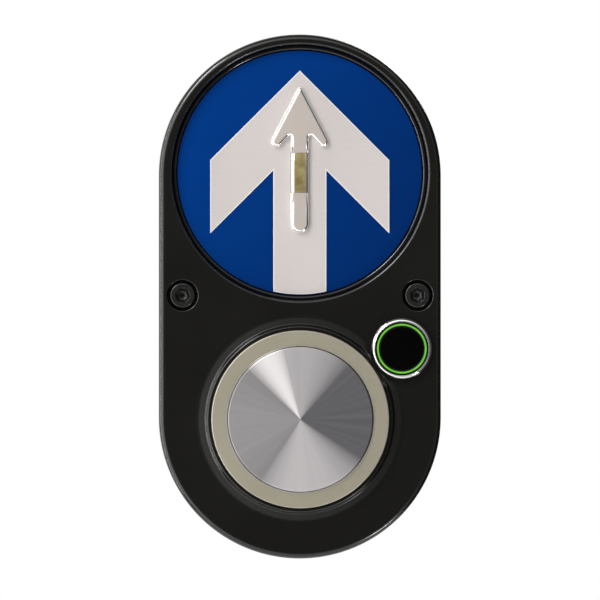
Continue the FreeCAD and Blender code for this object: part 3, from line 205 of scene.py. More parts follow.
class Wire:
    """One socket's value inside a material. Arithmetic on it adds Math nodes."""

    def __init__(self, paint, socket):
        self.paint, self.socket = paint, socket

    def maths(self, operation, other=0.0, third=0.0):
        return self.paint.node("ShaderNodeMath", {"operation": operation}, {0: self, 1: other, 2: third})

    def __add__(self, other):
        return self.maths("ADD", other)

    def __mul__(self, other):
        return self.maths("MULTIPLY", other)

    def __sub__(self, other):
        return self.maths("SUBTRACT", other)

    def __truediv__(self, other):
        return self.maths("DIVIDE", other)

    def __pow__(self, other):
        return self.maths("POWER", other)

    def __rsub__(self, other):
        return self.paint.node("ShaderNodeMath", {"operation": "SUBTRACT"}, {0: other, 1: self})

    __radd__ = __add__
    __rmul__ = __mul__

    def clamp(self):
        return self.paint.node("ShaderNodeClamp", {}, {0: self})


class Paint:
    """Shader nodes in the making, with the one way to add a node. With a name it is a material
    and has a Principled shader; with a tree it works on that tree."""

    def __init__(self, name=None, tree=None, **sockets):
        self.tree = tree
        if name:
            self.material = bpy.data.materials.new(name)
            self.material.use_nodes = True
            self.tree = self.material.node_tree
            self.shader = self.tree.nodes["Principled BSDF"]
        for socket, value in sockets.items():
            self.shader.inputs[socket.replace("_", " ")].default_value = value

    def node(self, kind, settings, sockets, output=0):
        added = self.tree.nodes.new(kind)
        for setting, value in settings.items():
            setattr(added, setting, value)
        for socket, value in sockets.items():
            if isinstance(value, Wire):
                self.tree.links.new(value.socket, added.inputs[socket])
            else:
                added.inputs[socket].default_value = value
        return Wire(self, added.outputs[output])

    def feed(self, **wires):
        for socket, wire in wires.items():
            self.tree.links.new(wire.socket, self.shader.inputs[socket.replace("_", " ")])
        return self

    def place(self, centre=(0, 0, 0), stretch=(1, 1, 1)):
        """Object coordinates, moved so that centre is their origin and then stretched."""
        where = self.node("ShaderNodeTexCoord", {}, {}, output=3)
        moved = self.node("ShaderNodeVectorMath", {"operation": "SUBTRACT"}, {0: where, 1: centre})
        return self.node("ShaderNodeVectorMath", {"operation": "MULTIPLY"}, {0: moved, 1: stretch})

    def part_of(self, where, axis):
        """One part of a vector: 0 across, 1 back or 2 up."""
        return self.node("ShaderNodeSeparateXYZ", {}, {0: where}, output=axis)

    def length_of(self, where):
        """Length of a vector."""
        return self.node("ShaderNodeVectorMath", {"operation": "LENGTH"}, {0: where}, output=1)

    def share_of(self, name):
        """The number that a piece stores under a name for each of its vertices."""
        return self.node("ShaderNodeAttribute", {"attribute_name": name}, {}, output=2)

    def fine_rings(self, value, scale, detail):
        """Noise along one value, such as a radius, so that it makes rings."""
        return self.node("ShaderNodeTexNoise", {"noise_dimensions": "1D"},
                         {"W": value * scale, "Scale": 1.0, "Detail": detail})

    def noise(self, where, scale, detail=3.0, rough=0.5):
        return self.node("ShaderNodeTexNoise", {}, {"Vector": where, "Scale": scale, "Detail": detail,
                                                    "Roughness": rough})

    def blend(self, share, first, second):
        """Colour between two, by a share."""
        return self.node("ShaderNodeMix", {"data_type": "RGBA"}, {0: share, 6: first, 7: second}, output=2)

    def bump(self, height, strength, distance):
        return self.node("ShaderNodeBump", {}, {"Height": height, "Strength": strength, "Distance": distance})

    def ramp(self, value, stops, smooth=False):
        """Colour band from (place, colour) stops."""
        made = self.tree.nodes.new("ShaderNodeValToRGB")
        band = made.color_ramp
        band.interpolation = "EASE" if smooth else "LINEAR"
        while len(band.elements) < len(stops):
            band.elements.new(0.5)
        for element, (position, colour) in zip(band.elements, stops):
            element.position = position
            element.color = colour
        self.tree.links.new(value.socket, made.inputs[0])
        return Wire(self, made.outputs[0])


def gloss_black_stove_paint():
    """Deep black stoving paint with a faint orange peel and slightly duller patches."""
    paint = Paint("gloss_black_stove_paint", Specular_IOR_Level=0.5, Coat_Weight=0.2, Coat_Roughness=0.06)
    where = paint.place()
    clouds = paint.noise(where, 22.0, 4.0)
    peel = paint.noise(where, 420.0, 2.0)
    specks = paint.noise(where, 1500.0, 2.0)
    paint.feed(
        Base_Color=paint.blend(clouds, (0.0042, 0.0040, 0.0031, 1), (0.0070, 0.0067, 0.0052, 1)),
        Roughness=clouds * 0.10 + specks * 0.04 + 0.17,
        Normal=paint.bump(peel, 0.12, 0.00012),
    )
    return paint.material


outer_profile = rounded(
    [(-3.6 * MM, seam_front), (0, seam_front), (0, face_front), (-edge_round - 0.15 * MM, face_front)],
    [0, 0.5 * MM, edge_round, 0], steps=10)
recess_profile = rounded(
    [(recess_radius + lip_round + 0.15 * MM, face_front), (recess_radius, face_front),
     (recess_radius - 0.25 * MM, recess_floor), (54 * MM, recess_floor)],
    [0, lip_round, 0.3 * MM, 0], steps=10)
pocket_profile = rounded(
    [(pocket_radius + 0.55 * MM, face_front), (pocket_radius, face_front),
     (pocket_radius, face_front - 10 * MM), (4.4 * MM, face_front - 10 * MM)],
    [0, 0.4 * MM, 0.3 * MM, 0], steps=5)

# The collar rises gently from the face, then steeply over a round crest, and drops to the bezel.
collar_profile = rounded(
    [(collar_foot + 1.4 * MM, 0), (collar_foot, 0), (collar_shoulder, 0.8 * MM), (collar_crest, collar_rise),
     (ring_high[0] + 0.2 * MM, collar_rise), (ring_high[0] + 0.2 * MM, -1 * MM)],
    [0, 8 * MM, 0.6 * MM, 0.7 * MM, 0.3 * MM, 0], steps=9, strip=0.02 * MM)
collar_points = turned_points(collar_profile, button_centre, 288)
from_sensor = np.hypot(collar_points[..., 0] - sensor_centre[0], collar_points[..., 2] - sensor_centre[1])
clear = np.clip((from_sensor - 14.2 * MM) / (5 * MM), 0, 1)
clear = clear * clear * (3 - 2 * clear)
rise = -collar_points[..., 1]
collar_points[..., 1] = -(face_front + np.where(rise > 0, rise * clear, rise))

outer_points = stadium_points(outer_profile, case_radius, end_height)
recess_points = turned_points(recess_profile, disc_centre, 256)
pocket_points = [turned_points(pocket_profile, (side * screw_reach, screw_level), 72) for side in (-1, 1)]
loops = [outer_points[-1], recess_points[0], collar_points[0]] + [points[0] for points in pocket_points]
patches = [(points, quads(*points.shape[:2]))
           for points in [outer_points, recess_points, collar_points] + pocket_points]
front_cover = piece(
    "front_cover", patches + [flat_between(loops)], gloss_black_stove_paint(), "housing",
    ["front_housing"], outward=((0, -face_front, -0.002), (0, -1, 0)))
wall = front_cover.modifiers.new("wall", "SOLIDIFY")
wall.thickness = 1.2 * MM
wall.offset = -1


# Tray: a shallow casting that stands on the wall or post. It has a groove for a foam bead on
# its back, two bolt holes on the middle line and the hole for the cable's rubber bush.

tray_low, tray_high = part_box("back_box")
grommet_low, grommet_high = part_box("cable_grommet")
tray_front = -tray_low[1]
bolt_level = 98 * MM
bolt_hole = 4.5 * MM
cable_hole = 9 * MM
cable_level = (grommet_low[2] + grommet_high[2]) / 2


def cast_aluminium():
    """Sand-grained casting under a thin dark wash, with brighter worn high spots."""
    paint = Paint("cast_aluminium", Metallic=0.75)
    where = paint.place()
    grain = paint.noise(where, 900.0, 5.0, 0.65)
    patches_of_wash = paint.noise(where, 30.0, 4.0)
    paint.feed(
        Base_Color=paint.blend((grain * 0.5 + patches_of_wash * 0.6).clamp(), (0.045, 0.045, 0.045, 1),
                               (0.12, 0.12, 0.118, 1)),
        Roughness=grain * 0.2 + 0.42,
        Normal=paint.bump(grain, 0.35, 0.00025),
    )
    return paint.material


tray_profile = rounded(
    [(-3.4 * MM, tray_front), (0, tray_front), (0, 0), (-5 * MM, 0), (-5.3 * MM, 1.1 * MM),
     (-7.9 * MM, 1.1 * MM), (-8.2 * MM, 0), (-9.2 * MM, 0)],
    [0, 0.4 * MM, 0.9 * MM, 0.25 * MM, 0.3 * MM, 0.3 * MM, 0.25 * MM, 0], steps=6)
bolt_profile = rounded(
    [(bolt_hole + 1.0 * MM, 0), (bolt_hole, 0), (bolt_hole, 6.5 * MM)], [0, 0.5 * MM, 0], steps=5)
cable_profile = rounded(
    [(cable_hole + 0.8 * MM, 0), (cable_hole, 0), (cable_hole, 4.5 * MM)], [0, 0.4 * MM, 0], steps=5)
tray_points = stadium_points(tray_profile, case_radius, end_height)
hole_points = [turned_points(bolt_profile, (0, level), 72) for level in (bolt_level, -bolt_level)]
hole_points.append(turned_points(cable_profile, (0, cable_level), 96))
patches = [(points, quads(*points.shape[:2])) for points in [tray_points] + hole_points]
tray = piece(
    "tray", patches + [flat_between([tray_points[-1]] + [points[0] for points in hole_points])],
    cast_aluminium(), "housing", ["back_box"], outward=((0.03, 0, 0.03), (0, 1, 0)))
wall = tray.modifiers.new("wall", "SOLIDIFY")
wall.thickness = 1.2 * MM
wall.offset = -1


# Seam seal and cable bush: black moulded rubber. The seal bulges a little between cover and
# tray, and the bush grips the edge of the cable hole.

def moulded_rubber():
    """Matte black rubber with a fine bloom of dust and a soft grain."""
    paint = Paint("moulded_rubber", Specular_IOR_Level=0.35)
    where = paint.place()
    grain = paint.noise(where, 1400.0, 3.0)
    bloom = paint.noise(where, 60.0, 5.0, 0.6)
    paint.feed(
        Base_Color=paint.blend((bloom * 1.6 - 0.5).clamp(), (0.008, 0.008, 0.008, 1),
                               (0.022, 0.021, 0.02, 1)),
        Roughness=bloom * 0.15 + 0.62,
        Normal=paint.bump(grain, 0.25, 0.00008),
    )
    return paint.material


rubber = moulded_rubber()
bulge = np.linspace(-np.pi / 2, np.pi / 2, 9)
seal_middle = (tray_front + seam_front) / 2
seal_half = (seam_front - tray_front) / 2
seal_profile = np.concatenate([
    np.stack([-0.9 * MM + 0.5 * MM * np.cos(bulge), seal_middle + seal_half * np.sin(bulge)], axis=-1),
    [[-3.6 * MM, seal_middle + seal_half], [-3.6 * MM, seal_middle - seal_half]]])
seal_points = stadium_points(seal_profile, case_radius, end_height)
piece("seam_seal", [(seal_points, quads(*seal_points.shape[:2], wrap_rows=True))], rubber, "housing",
      ["housing_gasket"])

bush_lip = grommet_high[0]
bush_bore = 5 * MM
bush_front = -grommet_low[1]
bush_profile = rounded(
    [(bush_bore, 0.05 * MM), (cable_hole - 0.05 * MM, 0.05 * MM), (cable_hole - 0.05 * MM, 5 * MM),
     (bush_lip, 5 * MM), (bush_lip, bush_front), (bush_bore, bush_front)],
    [0.7 * MM, 0.3 * MM, 0.2 * MM, 0.3 * MM, 0.6 * MM, 0.5 * MM], steps=5, closed=True)
bush_points = turned_points(bush_profile, (0, cable_level), 96)
piece("cable_bush", [(bush_points, quads(*bush_points.shape[:2], wrap_rows=True))], rubber, "housing",
      ["cable_grommet"])


# Cover screws: two black-oxide socket-head screws with knurled heads and flat washers, sunk in
# the cover's pockets.

head_front = -screws_low[1]
head_back = head_front - 8 * MM
socket_apothem = 3.0 * MM


def hexagon(apothem, angle):
    """Radius of a hexagon with flats at an apothem, along each angle."""
    return apothem / np.cos((angle + np.pi / 6) % (np.pi / 3) - np.pi / 6)


def black_oxide():
    """Oiled black oxide on steel, worn to bare metal on a few high edges."""
    paint = Paint("black_oxide", Specular_IOR_Level=0.5, Metallic=0.55)
    where = paint.place()
    mottle = paint.noise(where, 700.0, 5.0, 0.6)
    paint.feed(
        Base_Color=paint.blend(mottle, (0.012, 0.012, 0.012, 1), (0.055, 0.052, 0.05, 1)),
        Roughness=mottle * 0.18 + 0.12,
        Normal=paint.bump(mottle, 0.2, 0.0001),
    )
    return paint.material


oxide = black_oxide()
angle = np.linspace(0, 2 * np.pi, 288, endpoint=False)
knurl = 1 - 0.012 * np.abs(np.sin(36 * angle))
hex_radius = hexagon(socket_apothem, angle)
stations = [
    (0 * angle, head_back), (head_radius + 0 * angle, head_back),
    (head_radius * knurl, head_back + 0.25 * MM), (head_radius * knurl, head_front - 1.0 * MM),
    (head_radius * (1 + knurl) / 2, head_front - 0.8 * MM),
    (head_radius - 0.1 * MM + 0 * angle, head_front - 0.45 * MM),
    (head_radius - 0.35 * MM + 0 * angle, head_front - 0.12 * MM),
    (head_radius - 0.75 * MM + 0 * angle, head_front), (head_radius - 1.0 * MM + 0 * angle, head_front),
    (hex_radius * 0.2 + 3.6 * MM * 0.8, head_front),
    (hex_radius * 0.3 + 3.55 * MM * 0.7, head_front - 0.03 * MM),
    (hex_radius, head_front - 0.5 * MM), (hex_radius, head_front - 0.7 * MM),
    (hex_radius, head_front - 3.8 * MM), (hex_radius * 0.96, head_front - 4.0 * MM),
    (0 * angle, head_front - 4.9 * MM)]
shank_radius, shank_back, shank_break = 4 * MM, 5.2 * MM, 0.4 * MM
for side, name in ((-1, "left"), (1, "right")):
    radius = np.stack([station[0] for station in stations])
    forward = np.array([station[1] for station in stations])[:, None]
    turn = angle + (0.35 if side < 0 else 0.1)
    head_points = np.stack([side * screw_reach + radius * np.cos(turn), -forward + 0 * turn,
                            screw_level + radius * np.sin(turn)], axis=-1)
    shank = turned_points([(0, shank_back), (shank_radius - shank_break, shank_back),
                           (shank_radius, shank_back + shank_break),
                           (shank_radius, head_back), (0, head_back)],
                          (side * screw_reach, screw_level), 48)
    piece("cover_screw_" + name, [(head_points, quads(*head_points.shape[:2])),
                                  (shank, quads(*shank.shape[:2]))], oxide, "housing",
          ["cover_screws"])
    washer_profile = rounded(
        [(4.1 * MM, head_back - 1.2 * MM), (6.1 * MM, head_back - 1.2 * MM), (6.1 * MM, head_back),
         (4.1 * MM, head_back)], [0.1 * MM, 0.3 * MM, 0.3 * MM, 0.1 * MM], steps=3, closed=True)
    washer_points = turned_points(washer_profile, (side * screw_reach, screw_level), 72)
    piece("cover_washer_" + name, [(washer_points, quads(*washer_points.shape[:2], wrap_rows=True))], oxide,
          "housing", ["cover_washers"])


# Sign disc: a thin round plate with a satin blue face, with a glossy black ring pressed into
# the corner round it. The plate turns on its hub, so it rides on the disc.

plate_radius = disc_high[0]
plate_front = -disc_low[1]
plate_back = -disc_high[1]
bar_low, bar_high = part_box("vibrating_bar")
slot_half_width = bar_high[0] + 0.15 * MM
slot_half_length = (bar_high[2] - bar_low[2]) / 2 + 0.16 * MM


def slot_rim(half_width, half_length, count):
    """Points of a tight-cornered slot at even angles: a high-power oval of its two halves."""
    around = np.linspace(0, 2 * np.pi, count, endpoint=False)
    power = 2 / 40
    across = half_width * np.sign(np.cos(around)) * np.abs(np.cos(around)) ** power
    height = half_length * np.sign(np.sin(around)) * np.abs(np.sin(around)) ** power
    return around, across, height


def blue_sign_face():
    """Satin blue enamel over brushed metal: level strokes show faintly under the colour. A painted
    light makes the face lighter towards the upper left and darker towards the lower right.
    """
    paint = Paint("blue_sign_face", Specular_IOR_Level=0.08, Metallic=0.25)
    strokes = paint.noise(paint.place(stretch=(30, 30, 2600)), 1.0, 2.0)
    clouds = paint.noise(paint.place(), 14.0, 2.0)
    where = paint.place(centre=(0, 0, disc_centre[1]))
    across = paint.part_of(where, 0)
    height = paint.part_of(where, 2)
    # Painted light: the colour is lighter towards the upper left and darker towards the lower right, with
    # random clouds and strokes on top.
    painted_light_and_tone = (across * -7.0 + height * 4.0 + clouds * 0.35 + strokes * 0.3 + 0.08).clamp()
    paint.feed(
        Base_Color=paint.blend(painted_light_and_tone, (0.0, 0.023, 0.135, 1), (0.0, 0.047, 0.268, 1)),
        Roughness=strokes * 0.14 + 0.3,
        Normal=paint.bump(strokes, 0.12, 0.00008),
    )
    return paint.material


count = 288
around, slot_across, slot_height = slot_rim(slot_half_width, slot_half_length, count)
stations = [(0, 0, plate_back), (0, 0, plate_front - 0.1 * MM), (0.0, 0.0, plate_front)]
stations += [(share, plate_radius, plate_front) for share in np.linspace(0.02, 0.985, 12)]
stations += [(1, plate_radius - 0.35 * MM * (1 - math.sin(turn)),
              plate_front - 0.35 * MM * (1 - math.cos(turn)))
             for turn in np.linspace(0, math.pi / 2, 5)]
stations += [(1, plate_radius, plate_back), (0.5, plate_radius, plate_back)]
share = np.array([station[0] for station in stations])[:, None]
radius = np.array([station[1] for station in stations])[:, None]
forward = np.array([station[2] for station in stations])[:, None]
plate_points = np.stack([
    share * radius * np.cos(around) + (1 - share) * slot_across,
    -forward + 0 * around,
    disc_centre[1] + share * radius * np.sin(around) + (1 - share) * slot_height], axis=-1)
piece("sign_plate", [(plate_points, quads(*plate_points.shape[:2], wrap_rows=True))], blue_sign_face(),
      "direction_disc", ["disc_plate"])

trim_low, trim_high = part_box("disc_trim_ring")
trim_wire = (trim_high[1] - trim_low[1]) / 2
trim_forward = -(trim_high[1] + trim_low[1]) / 2
trim_radius = trim_high[0] - trim_wire


def wet_look_rubber():
    """Glossy black cord, smooth as a moulded ring, with slow changes of sheen."""
    paint = Paint("wet_look_rubber", Specular_IOR_Level=0.6)
    sheen = paint.noise(paint.place(), 120.0, 3.0)
    paint.feed(Base_Color=paint.blend(sheen, (0.004, 0.004, 0.005, 1), (0.009, 0.010, 0.013, 1)),
               Roughness=sheen * 0.03 + 0.035)
    return paint.material


section = np.linspace(0, 2 * np.pi, 20, endpoint=False)
trim_profile = np.stack([trim_radius + trim_wire * np.cos(section),
                         trim_forward + trim_wire * np.sin(section)], axis=-1)
trim_points = turned_points(trim_profile, disc_centre, 288)
piece("trim_ring", [(trim_points, quads(*trim_points.shape[:2], wrap_rows=True))],
      wet_look_rubber(), "housing", ["disc_trim_ring"])


# Flat arrow: silver sheeting laid on the blue, wings at 45 degrees and a shaft that runs down
# to the plate's edge. Its cut edge is bright.

legend_low, legend_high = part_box("arrow_legend")
legend_front = -legend_low[1]
apex = 47.2 * MM
half_span = legend_high[0]
wing_drop = 33.8 * MM
half_shaft = 12.25 * MM
tail_radius = plate_radius - 0.4 * MM


def inset(outline, amount):
    """Outline moved inward by an amount, corner by corner along the mitre of its two sides."""
    ahead = np.roll(outline, -1, axis=0) - outline
    ahead /= np.linalg.norm(ahead, axis=1, keepdims=True)
    behind = np.roll(ahead, 1, axis=0)
    normal_ahead = np.stack([-ahead[:, 1], ahead[:, 0]], axis=-1)
    normal_behind = np.stack([-behind[:, 1], behind[:, 0]], axis=-1)
    mitre = normal_ahead + normal_behind
    mitre /= (mitre * mitre).sum(axis=1, keepdims=True) / 2
    return outline + mitre * amount


def lay(outline, forward, centre):
    """Outline of (across, up) points laid on a plane at a forward distance."""
    return np.stack([centre[0] + outline[:, 0], -forward + 0 * outline[:, 0],
                     centre[1] + outline[:, 1]], axis=-1)


def edge_share(made, name, values):
    """Stores one number for each vertex, 1 on an edge and 0 inside."""
    layer = made.data.attributes.new(name, "FLOAT", "POINT")
    layer.data.foreach_set("value", values)


def vertices(made):
    """All vertex positions of a piece as an array."""
    flat = np.empty(len(made.data.vertices) * 3)
    made.data.vertices.foreach_get("co", flat)
    return flat.reshape(-1, 3)


def silver_sheeting():
    """Warm silver sheeting with a fine granular face, brighter along the cut edge."""
    paint = Paint("silver_sheeting", Metallic=0.35, Specular_IOR_Level=0.5)
    where = paint.place()
    fine = paint.noise(where, 2600.0, 3.0, 0.7)
    strokes = paint.noise(paint.place(stretch=(60, 60, 1800)), 1.0, 2.0)
    clouds = paint.noise(where, 18.0, 3.0)
    edge = paint.share_of("edge")
    face = paint.blend((fine * 0.5 + strokes * 0.25 + clouds * 0.35).clamp(), (0.57, 0.52, 0.49, 1),
                       (0.75, 0.70, 0.68, 1))
    paint.feed(
        Base_Color=paint.blend(edge, face, (0.95, 0.93, 0.92, 1)),
        Roughness=fine * 0.16 + 0.38,
        Normal=paint.bump(fine, 0.2, 0.00005),
    )
    return paint.material


tail_angle = math.asin(half_shaft / tail_radius)
tail = np.linspace(-tail_angle, tail_angle, 17)
legend_outline = np.concatenate([
    [(0, apex), (-half_span, apex - half_span), (-half_span, apex - half_span - wing_drop),
     (-half_shaft, apex - wing_drop - half_shaft)],
    np.stack([tail_radius * np.sin(tail), -tail_radius * np.cos(tail)], axis=-1),
    [(half_shaft, apex - wing_drop - half_shaft), (half_span, apex - half_span - wing_drop),
     (half_span, apex - half_span)]])
steps_in = [(0, plate_front), (0, legend_front - 0.08 * MM), (0.08 * MM, legend_front),
            (0.3 * MM, legend_front), (0.55 * MM, legend_front)]
legend_points = np.stack([lay(inset(legend_outline, amount), forward, disc_centre)
                          for amount, forward in steps_in])
slot_loop = lay(np.stack([slot_across, slot_height], axis=-1)[::4], legend_front, disc_centre)
legend = piece(
    "silver_arrow", [(legend_points, quads(*legend_points.shape[:2])),
                     flat_between([legend_points[-1], slot_loop])],
    silver_sheeting(), "direction_disc", ["arrow_legend"],
    outward=((0.03, -legend_front, disc_centre[1]), (0, -1, 0)))
rim = np.concatenate([legend_points[1], legend_points[2], legend_points[3]])
apart = np.abs(vertices(legend)[:, None] - rim[None]).sum(axis=2).min(axis=1)
edge_share(legend, "edge", (apart < 1e-6) * 0.8)


# Raised arrow: machined from bar in two lengths, the head with its stub and the tail, with the
# touch bar between them. The rounded flank is bright-polished and the top is satin, and every
# corner is rounded because fingers read it.

tactile_low, tactile_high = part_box("tactile_arrow")
tactile_front = -tactile_low[1]
shaft_half = 4.4 * MM
flank_width = 1.85 * MM
barb_spot = np.array([10.8, 14.4]) * MM
barb_round = 2.65 * MM
notch_round = 0.5 * MM
tip_round = 1.1 * MM
tail_spot = -23.4 * MM
side_lean = math.radians(27.6)
web_lean = math.radians(48)


def arc(centre, radius, start, end, steps):
    """Points of an arc about a centre, between two angles in degrees."""
    turn = np.radians(np.linspace(start, end, steps))
    return np.stack([centre[0] + radius * np.cos(turn), centre[1] + radius * np.sin(turn)], axis=-1)


def head_outline(inset):
    """Outline of the head and its stub, drawn in by an amount: the tip's arc, the barb's arc and
    the notch's arc share their tangent lines, and the left half mirrors the right."""
    barb_edge = barb_spot + barb_round * np.array([math.cos(side_lean), math.sin(side_lean)])
    apex = barb_edge[1] + barb_edge[0] / math.tan(side_lean) - inset / math.sin(side_lean)
    tip = max(tip_round - inset, 0.05 * MM)
    heel = barb_spot - barb_round * np.array([math.sin(web_lean), math.cos(web_lean)])
    notch_across = shaft_half + notch_round
    notch_up = heel[1] + ((heel[0] - notch_across) * math.sin(web_lean) - notch_round) / math.cos(web_lean)
    side, web = math.degrees(side_lean), 90 - math.degrees(web_lean)
    right = np.concatenate([
        arc((0, apex - tip / math.sin(side_lean)), tip, 90, side, 9),
        arc(barb_spot, barb_round - inset, side, web - 180, 22),
        arc((notch_across, notch_up), notch_round + inset, web, 180, 12),
        [(shaft_half - inset, slot_half_length)]])
    return np.concatenate([right[::-1], right[1:] * (-1, 1)])


def tail_outline(inset):
    """Outline of the tail, drawn in by an amount: two straight sides and a half circle."""
    width = shaft_half - inset
    return np.concatenate([[(-width, -slot_half_length)], arc((0, tail_spot), width, 180, 360, 33),
                           [(width, -slot_half_length)]])


def polished_and_satin_metal():
    """Bright metal: the flank is polished like a mirror and the top is bead-blasted."""
    paint = Paint("polished_and_satin_metal")
    where = paint.place()
    fine = paint.noise(where, 2600.0, 3.0, 0.7)
    clouds = paint.noise(where, 25.0, 3.0)
    bright = paint.share_of("flank")
    top = paint.blend((fine * 0.5 + clouds * 0.4).clamp(), (0.46, 0.40, 0.36, 1), (0.62, 0.56, 0.51, 1))
    paint.feed(
        Base_Color=paint.blend(bright, top, (0.93, 0.92, 0.90, 1)),
        Metallic=bright * 0.65 + 0.35,
        Roughness=(1 - bright) * (fine * 0.16 + 0.32) + 0.07,
        Normal=paint.bump(fine * (1 - bright), 0.2, 0.00005),
    )
    return paint.material


climb = np.linspace(0, np.pi / 2, 11)
flank_in = np.concatenate([[0, 0.05 * MM, 0.16 * MM, 0.22 * MM],
                           0.26 * MM + (flank_width - 0.26 * MM) * (1 - np.cos(climb)),
                           [flank_width + 0.06 * MM]])
tall = tactile_front - legend_front
flank_up = np.concatenate([[0, 0.02 * tall, 0.1 * tall, 0.2 * tall],
                           tall * (0.28 + 0.72 * np.sin(climb)), [tall]])
metal = polished_and_satin_metal()
for name, outline in (("raised_arrow_head", head_outline), ("raised_arrow_tail", tail_outline)):
    skin = np.stack([lay(outline(amount), legend_front + up, disc_centre)
                     for amount, up in zip(flank_in, flank_up)])
    end = np.concatenate([skin[:, 0], skin[::-1, -1]])
    raised = piece(name, [(skin, quads(*skin.shape[:2], wrap_columns=False)), flat_between([skin[-1]]),
                          flat_between([skin[0]]), (end, [list(range(len(end)))])],
                   metal, "direction_disc", ["tactile_arrow"])
    depth = -vertices(raised)[:, 1]
    edge_share(raised, "flank", np.clip((tactile_front - 0.015 * MM - depth) / (0.1 * MM), 0, 1))


# Touch bar: a bronze-topped bar that fills the gap in the arrow's shaft and shivers when it is
# time to cross. Its long edges are rounded over and polished like the arrow's flank, and its
# top is lapped crosswise and worn by fingertips.

bar_centre = ((bar_low[0] + bar_high[0]) / 2, (bar_low[2] + bar_high[2]) / 2)
bar_front, bar_back = -bar_low[1], 46.2 * MM
half_wide, half_long = (bar_high[0] - bar_low[0]) / 2, (bar_high[2] - bar_low[2]) / 2
bar_flank = 1.9 * MM


def lapped_bronze():
    """Bronze with crosswise lapping marks and handled patches, bright along its flanks."""
    paint = Paint("lapped_bronze")
    strokes = paint.noise(paint.place(stretch=(90, 90, 2200)), 1.0, 3.0)
    handled = paint.noise(paint.place(), 230.0, 2.0)
    patchy = (handled * 2.2 - 0.65).clamp()
    bright = paint.share_of("flank")
    top = paint.blend((strokes * 0.3 + patchy * 0.75).clamp(), (0.20, 0.145, 0.050, 1), (0.52, 0.43, 0.21, 1))
    paint.feed(
        Base_Color=paint.blend(bright, top, (0.90, 0.88, 0.84, 1)),
        Metallic=bright * 0.5 + 0.5,
        Roughness=(1 - bright) * (strokes * 0.2 + 0.25) + 0.07,
        Normal=paint.bump(strokes * (1 - bright), 0.25, 0.00008),
    )
    return paint.material


over = np.linspace(0, np.pi / 2, 9)
half_section = np.concatenate([
    [(half_wide, bar_back)],
    np.stack([half_wide - bar_flank * (1 - np.cos(over)),
              bar_front - 1.7 * MM * (1 - np.sin(over))], axis=-1),
    [(half_wide - bar_flank - 0.06 * MM, bar_front)]])
section = np.concatenate([half_section, half_section[::-1] * (-1, 1)])
middle = np.array([0, (bar_front + bar_back) / 2])
stations = [(-half_long, 0.97), (-half_long + 0.12 * MM, 1), (0, 1),
            (half_long - 0.12 * MM, 1), (half_long, 0.97)]
bar_points = np.stack([
    np.stack([bar_centre[0] + spread[:, 0], -spread[:, 1], bar_centre[1] + along + 0 * spread[:, 0]], axis=-1)
    for along, spread in ((along, middle + (section - middle) * share) for along, share in stations)])
bar_stem, bar_stem_back, bar_stem_front = 2.2 * MM, 35 * MM, 46.2 * MM
stem_points = turned_points([(0, bar_stem_back), (bar_stem, bar_stem_back), (bar_stem, bar_stem_front),
                             (0, bar_stem_front)], bar_centre, 48)
bar = piece("touch_bar_top", [(bar_points, quads(*bar_points.shape[:2])),
                              (bar_points[0], [list(range(len(section)))]),
                              (bar_points[-1], [list(range(len(section)))]),
                              (stem_points, quads(*stem_points.shape[:2]))],
            lapped_bronze(), "touch_bar", ["vibrating_bar"])
depth = -vertices(bar)[:, 1]
edge_share(bar, "flank", np.clip((bar_front - 0.03 * MM - depth) / (0.1 * MM), 0, 1))


# Button bezel: a satin champagne anodised ring, turned with fine marks and bright broken edges.

ring_radius = ring_high[0]
ring_bore = 33.5 * MM
ring_front, ring_back = -ring_low[1], -ring_high[1]


def champagne_anodising():
    """Satin anodised aluminium: very fine turning marks and a soft sparkle of the blasted skin."""
    paint = Paint("champagne_anodising", Metallic=0.55)
    where = paint.place(centre=(button_centre[0], 0, button_centre[1]), stretch=(1, 0, 1))
    reach = paint.length_of(where)
    lines = paint.fine_rings(reach, 5200.0, 3.0)
    grain = paint.noise(paint.place(), 1900.0, 4.0, 0.7)
    clouds = paint.noise(paint.place(), 26.0, 3.0)
    edge = paint.share_of("edge")
    face = paint.blend((grain * 0.55 + lines * 0.2 + clouds * 0.35).clamp(), (0.275, 0.248, 0.18, 1),
                       (0.52, 0.48, 0.38, 1))
    paint.feed(
        Base_Color=paint.blend(edge, face, (0.86, 0.85, 0.82, 1)),
        Metallic=edge * 0.4 + 0.55,
        Roughness=(grain * 0.2 + 0.36) * (1 - edge * 0.6),
        Normal=paint.bump(grain + lines * 0.4, 0.22, 0.00006),
    )
    return paint.material


def off_axis(made, centre):
    """Distance of each vertex of a piece from the forward axis through a centre."""
    spots = vertices(made)
    return np.hypot(spots[:, 0] - centre[0], spots[:, 2] - centre[1])


bezel_profile = rounded(
    [(ring_bore, ring_back), (ring_radius, ring_back), (ring_radius, ring_front), (ring_bore, ring_front)],
    [0.2 * MM, 0.3 * MM, 0.45 * MM, 0.45 * MM], steps=6, closed=True)
bezel_points = turned_points(bezel_profile, button_centre, 288)
bezel = piece("button_bezel", [(bezel_points, quads(*bezel_points.shape[:2], wrap_rows=True))],
              champagne_anodising(), "housing", ["button_ring"])
reach = off_axis(bezel, button_centre)
at_front = -vertices(bezel)[:, 1] > ring_front - 0.44 * MM
outer_edge, inner_edge = reach > ring_radius - 0.4 * MM, reach < ring_bore + 0.4 * MM
edge_share(bezel, "edge", at_front * (outer_edge * 0.15 + inner_edge * 0.8))


# Button cap: stainless steel, faced on a lathe. Wedges of light that run out from the middle are
# painted into its colour as a painted sheen. It rides on the button with its stem and clip.

cap_low, cap_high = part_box("button_cap")
cap_radius = cap_high[0]
cap_front, cap_back = -cap_low[1], -cap_high[1]
dome = 0.25 * MM


# Wedges of painted sheen, colour lightened in place of reflected light, as (hour on a clock face,
# half width in hours, strength).
painted_sheen_wedges = [(11.0, 0.55, 0.50), (12.0, 1.4, 0.36), (5.6, 1.5, 0.44), (8.8, 3.0, 0.22)]


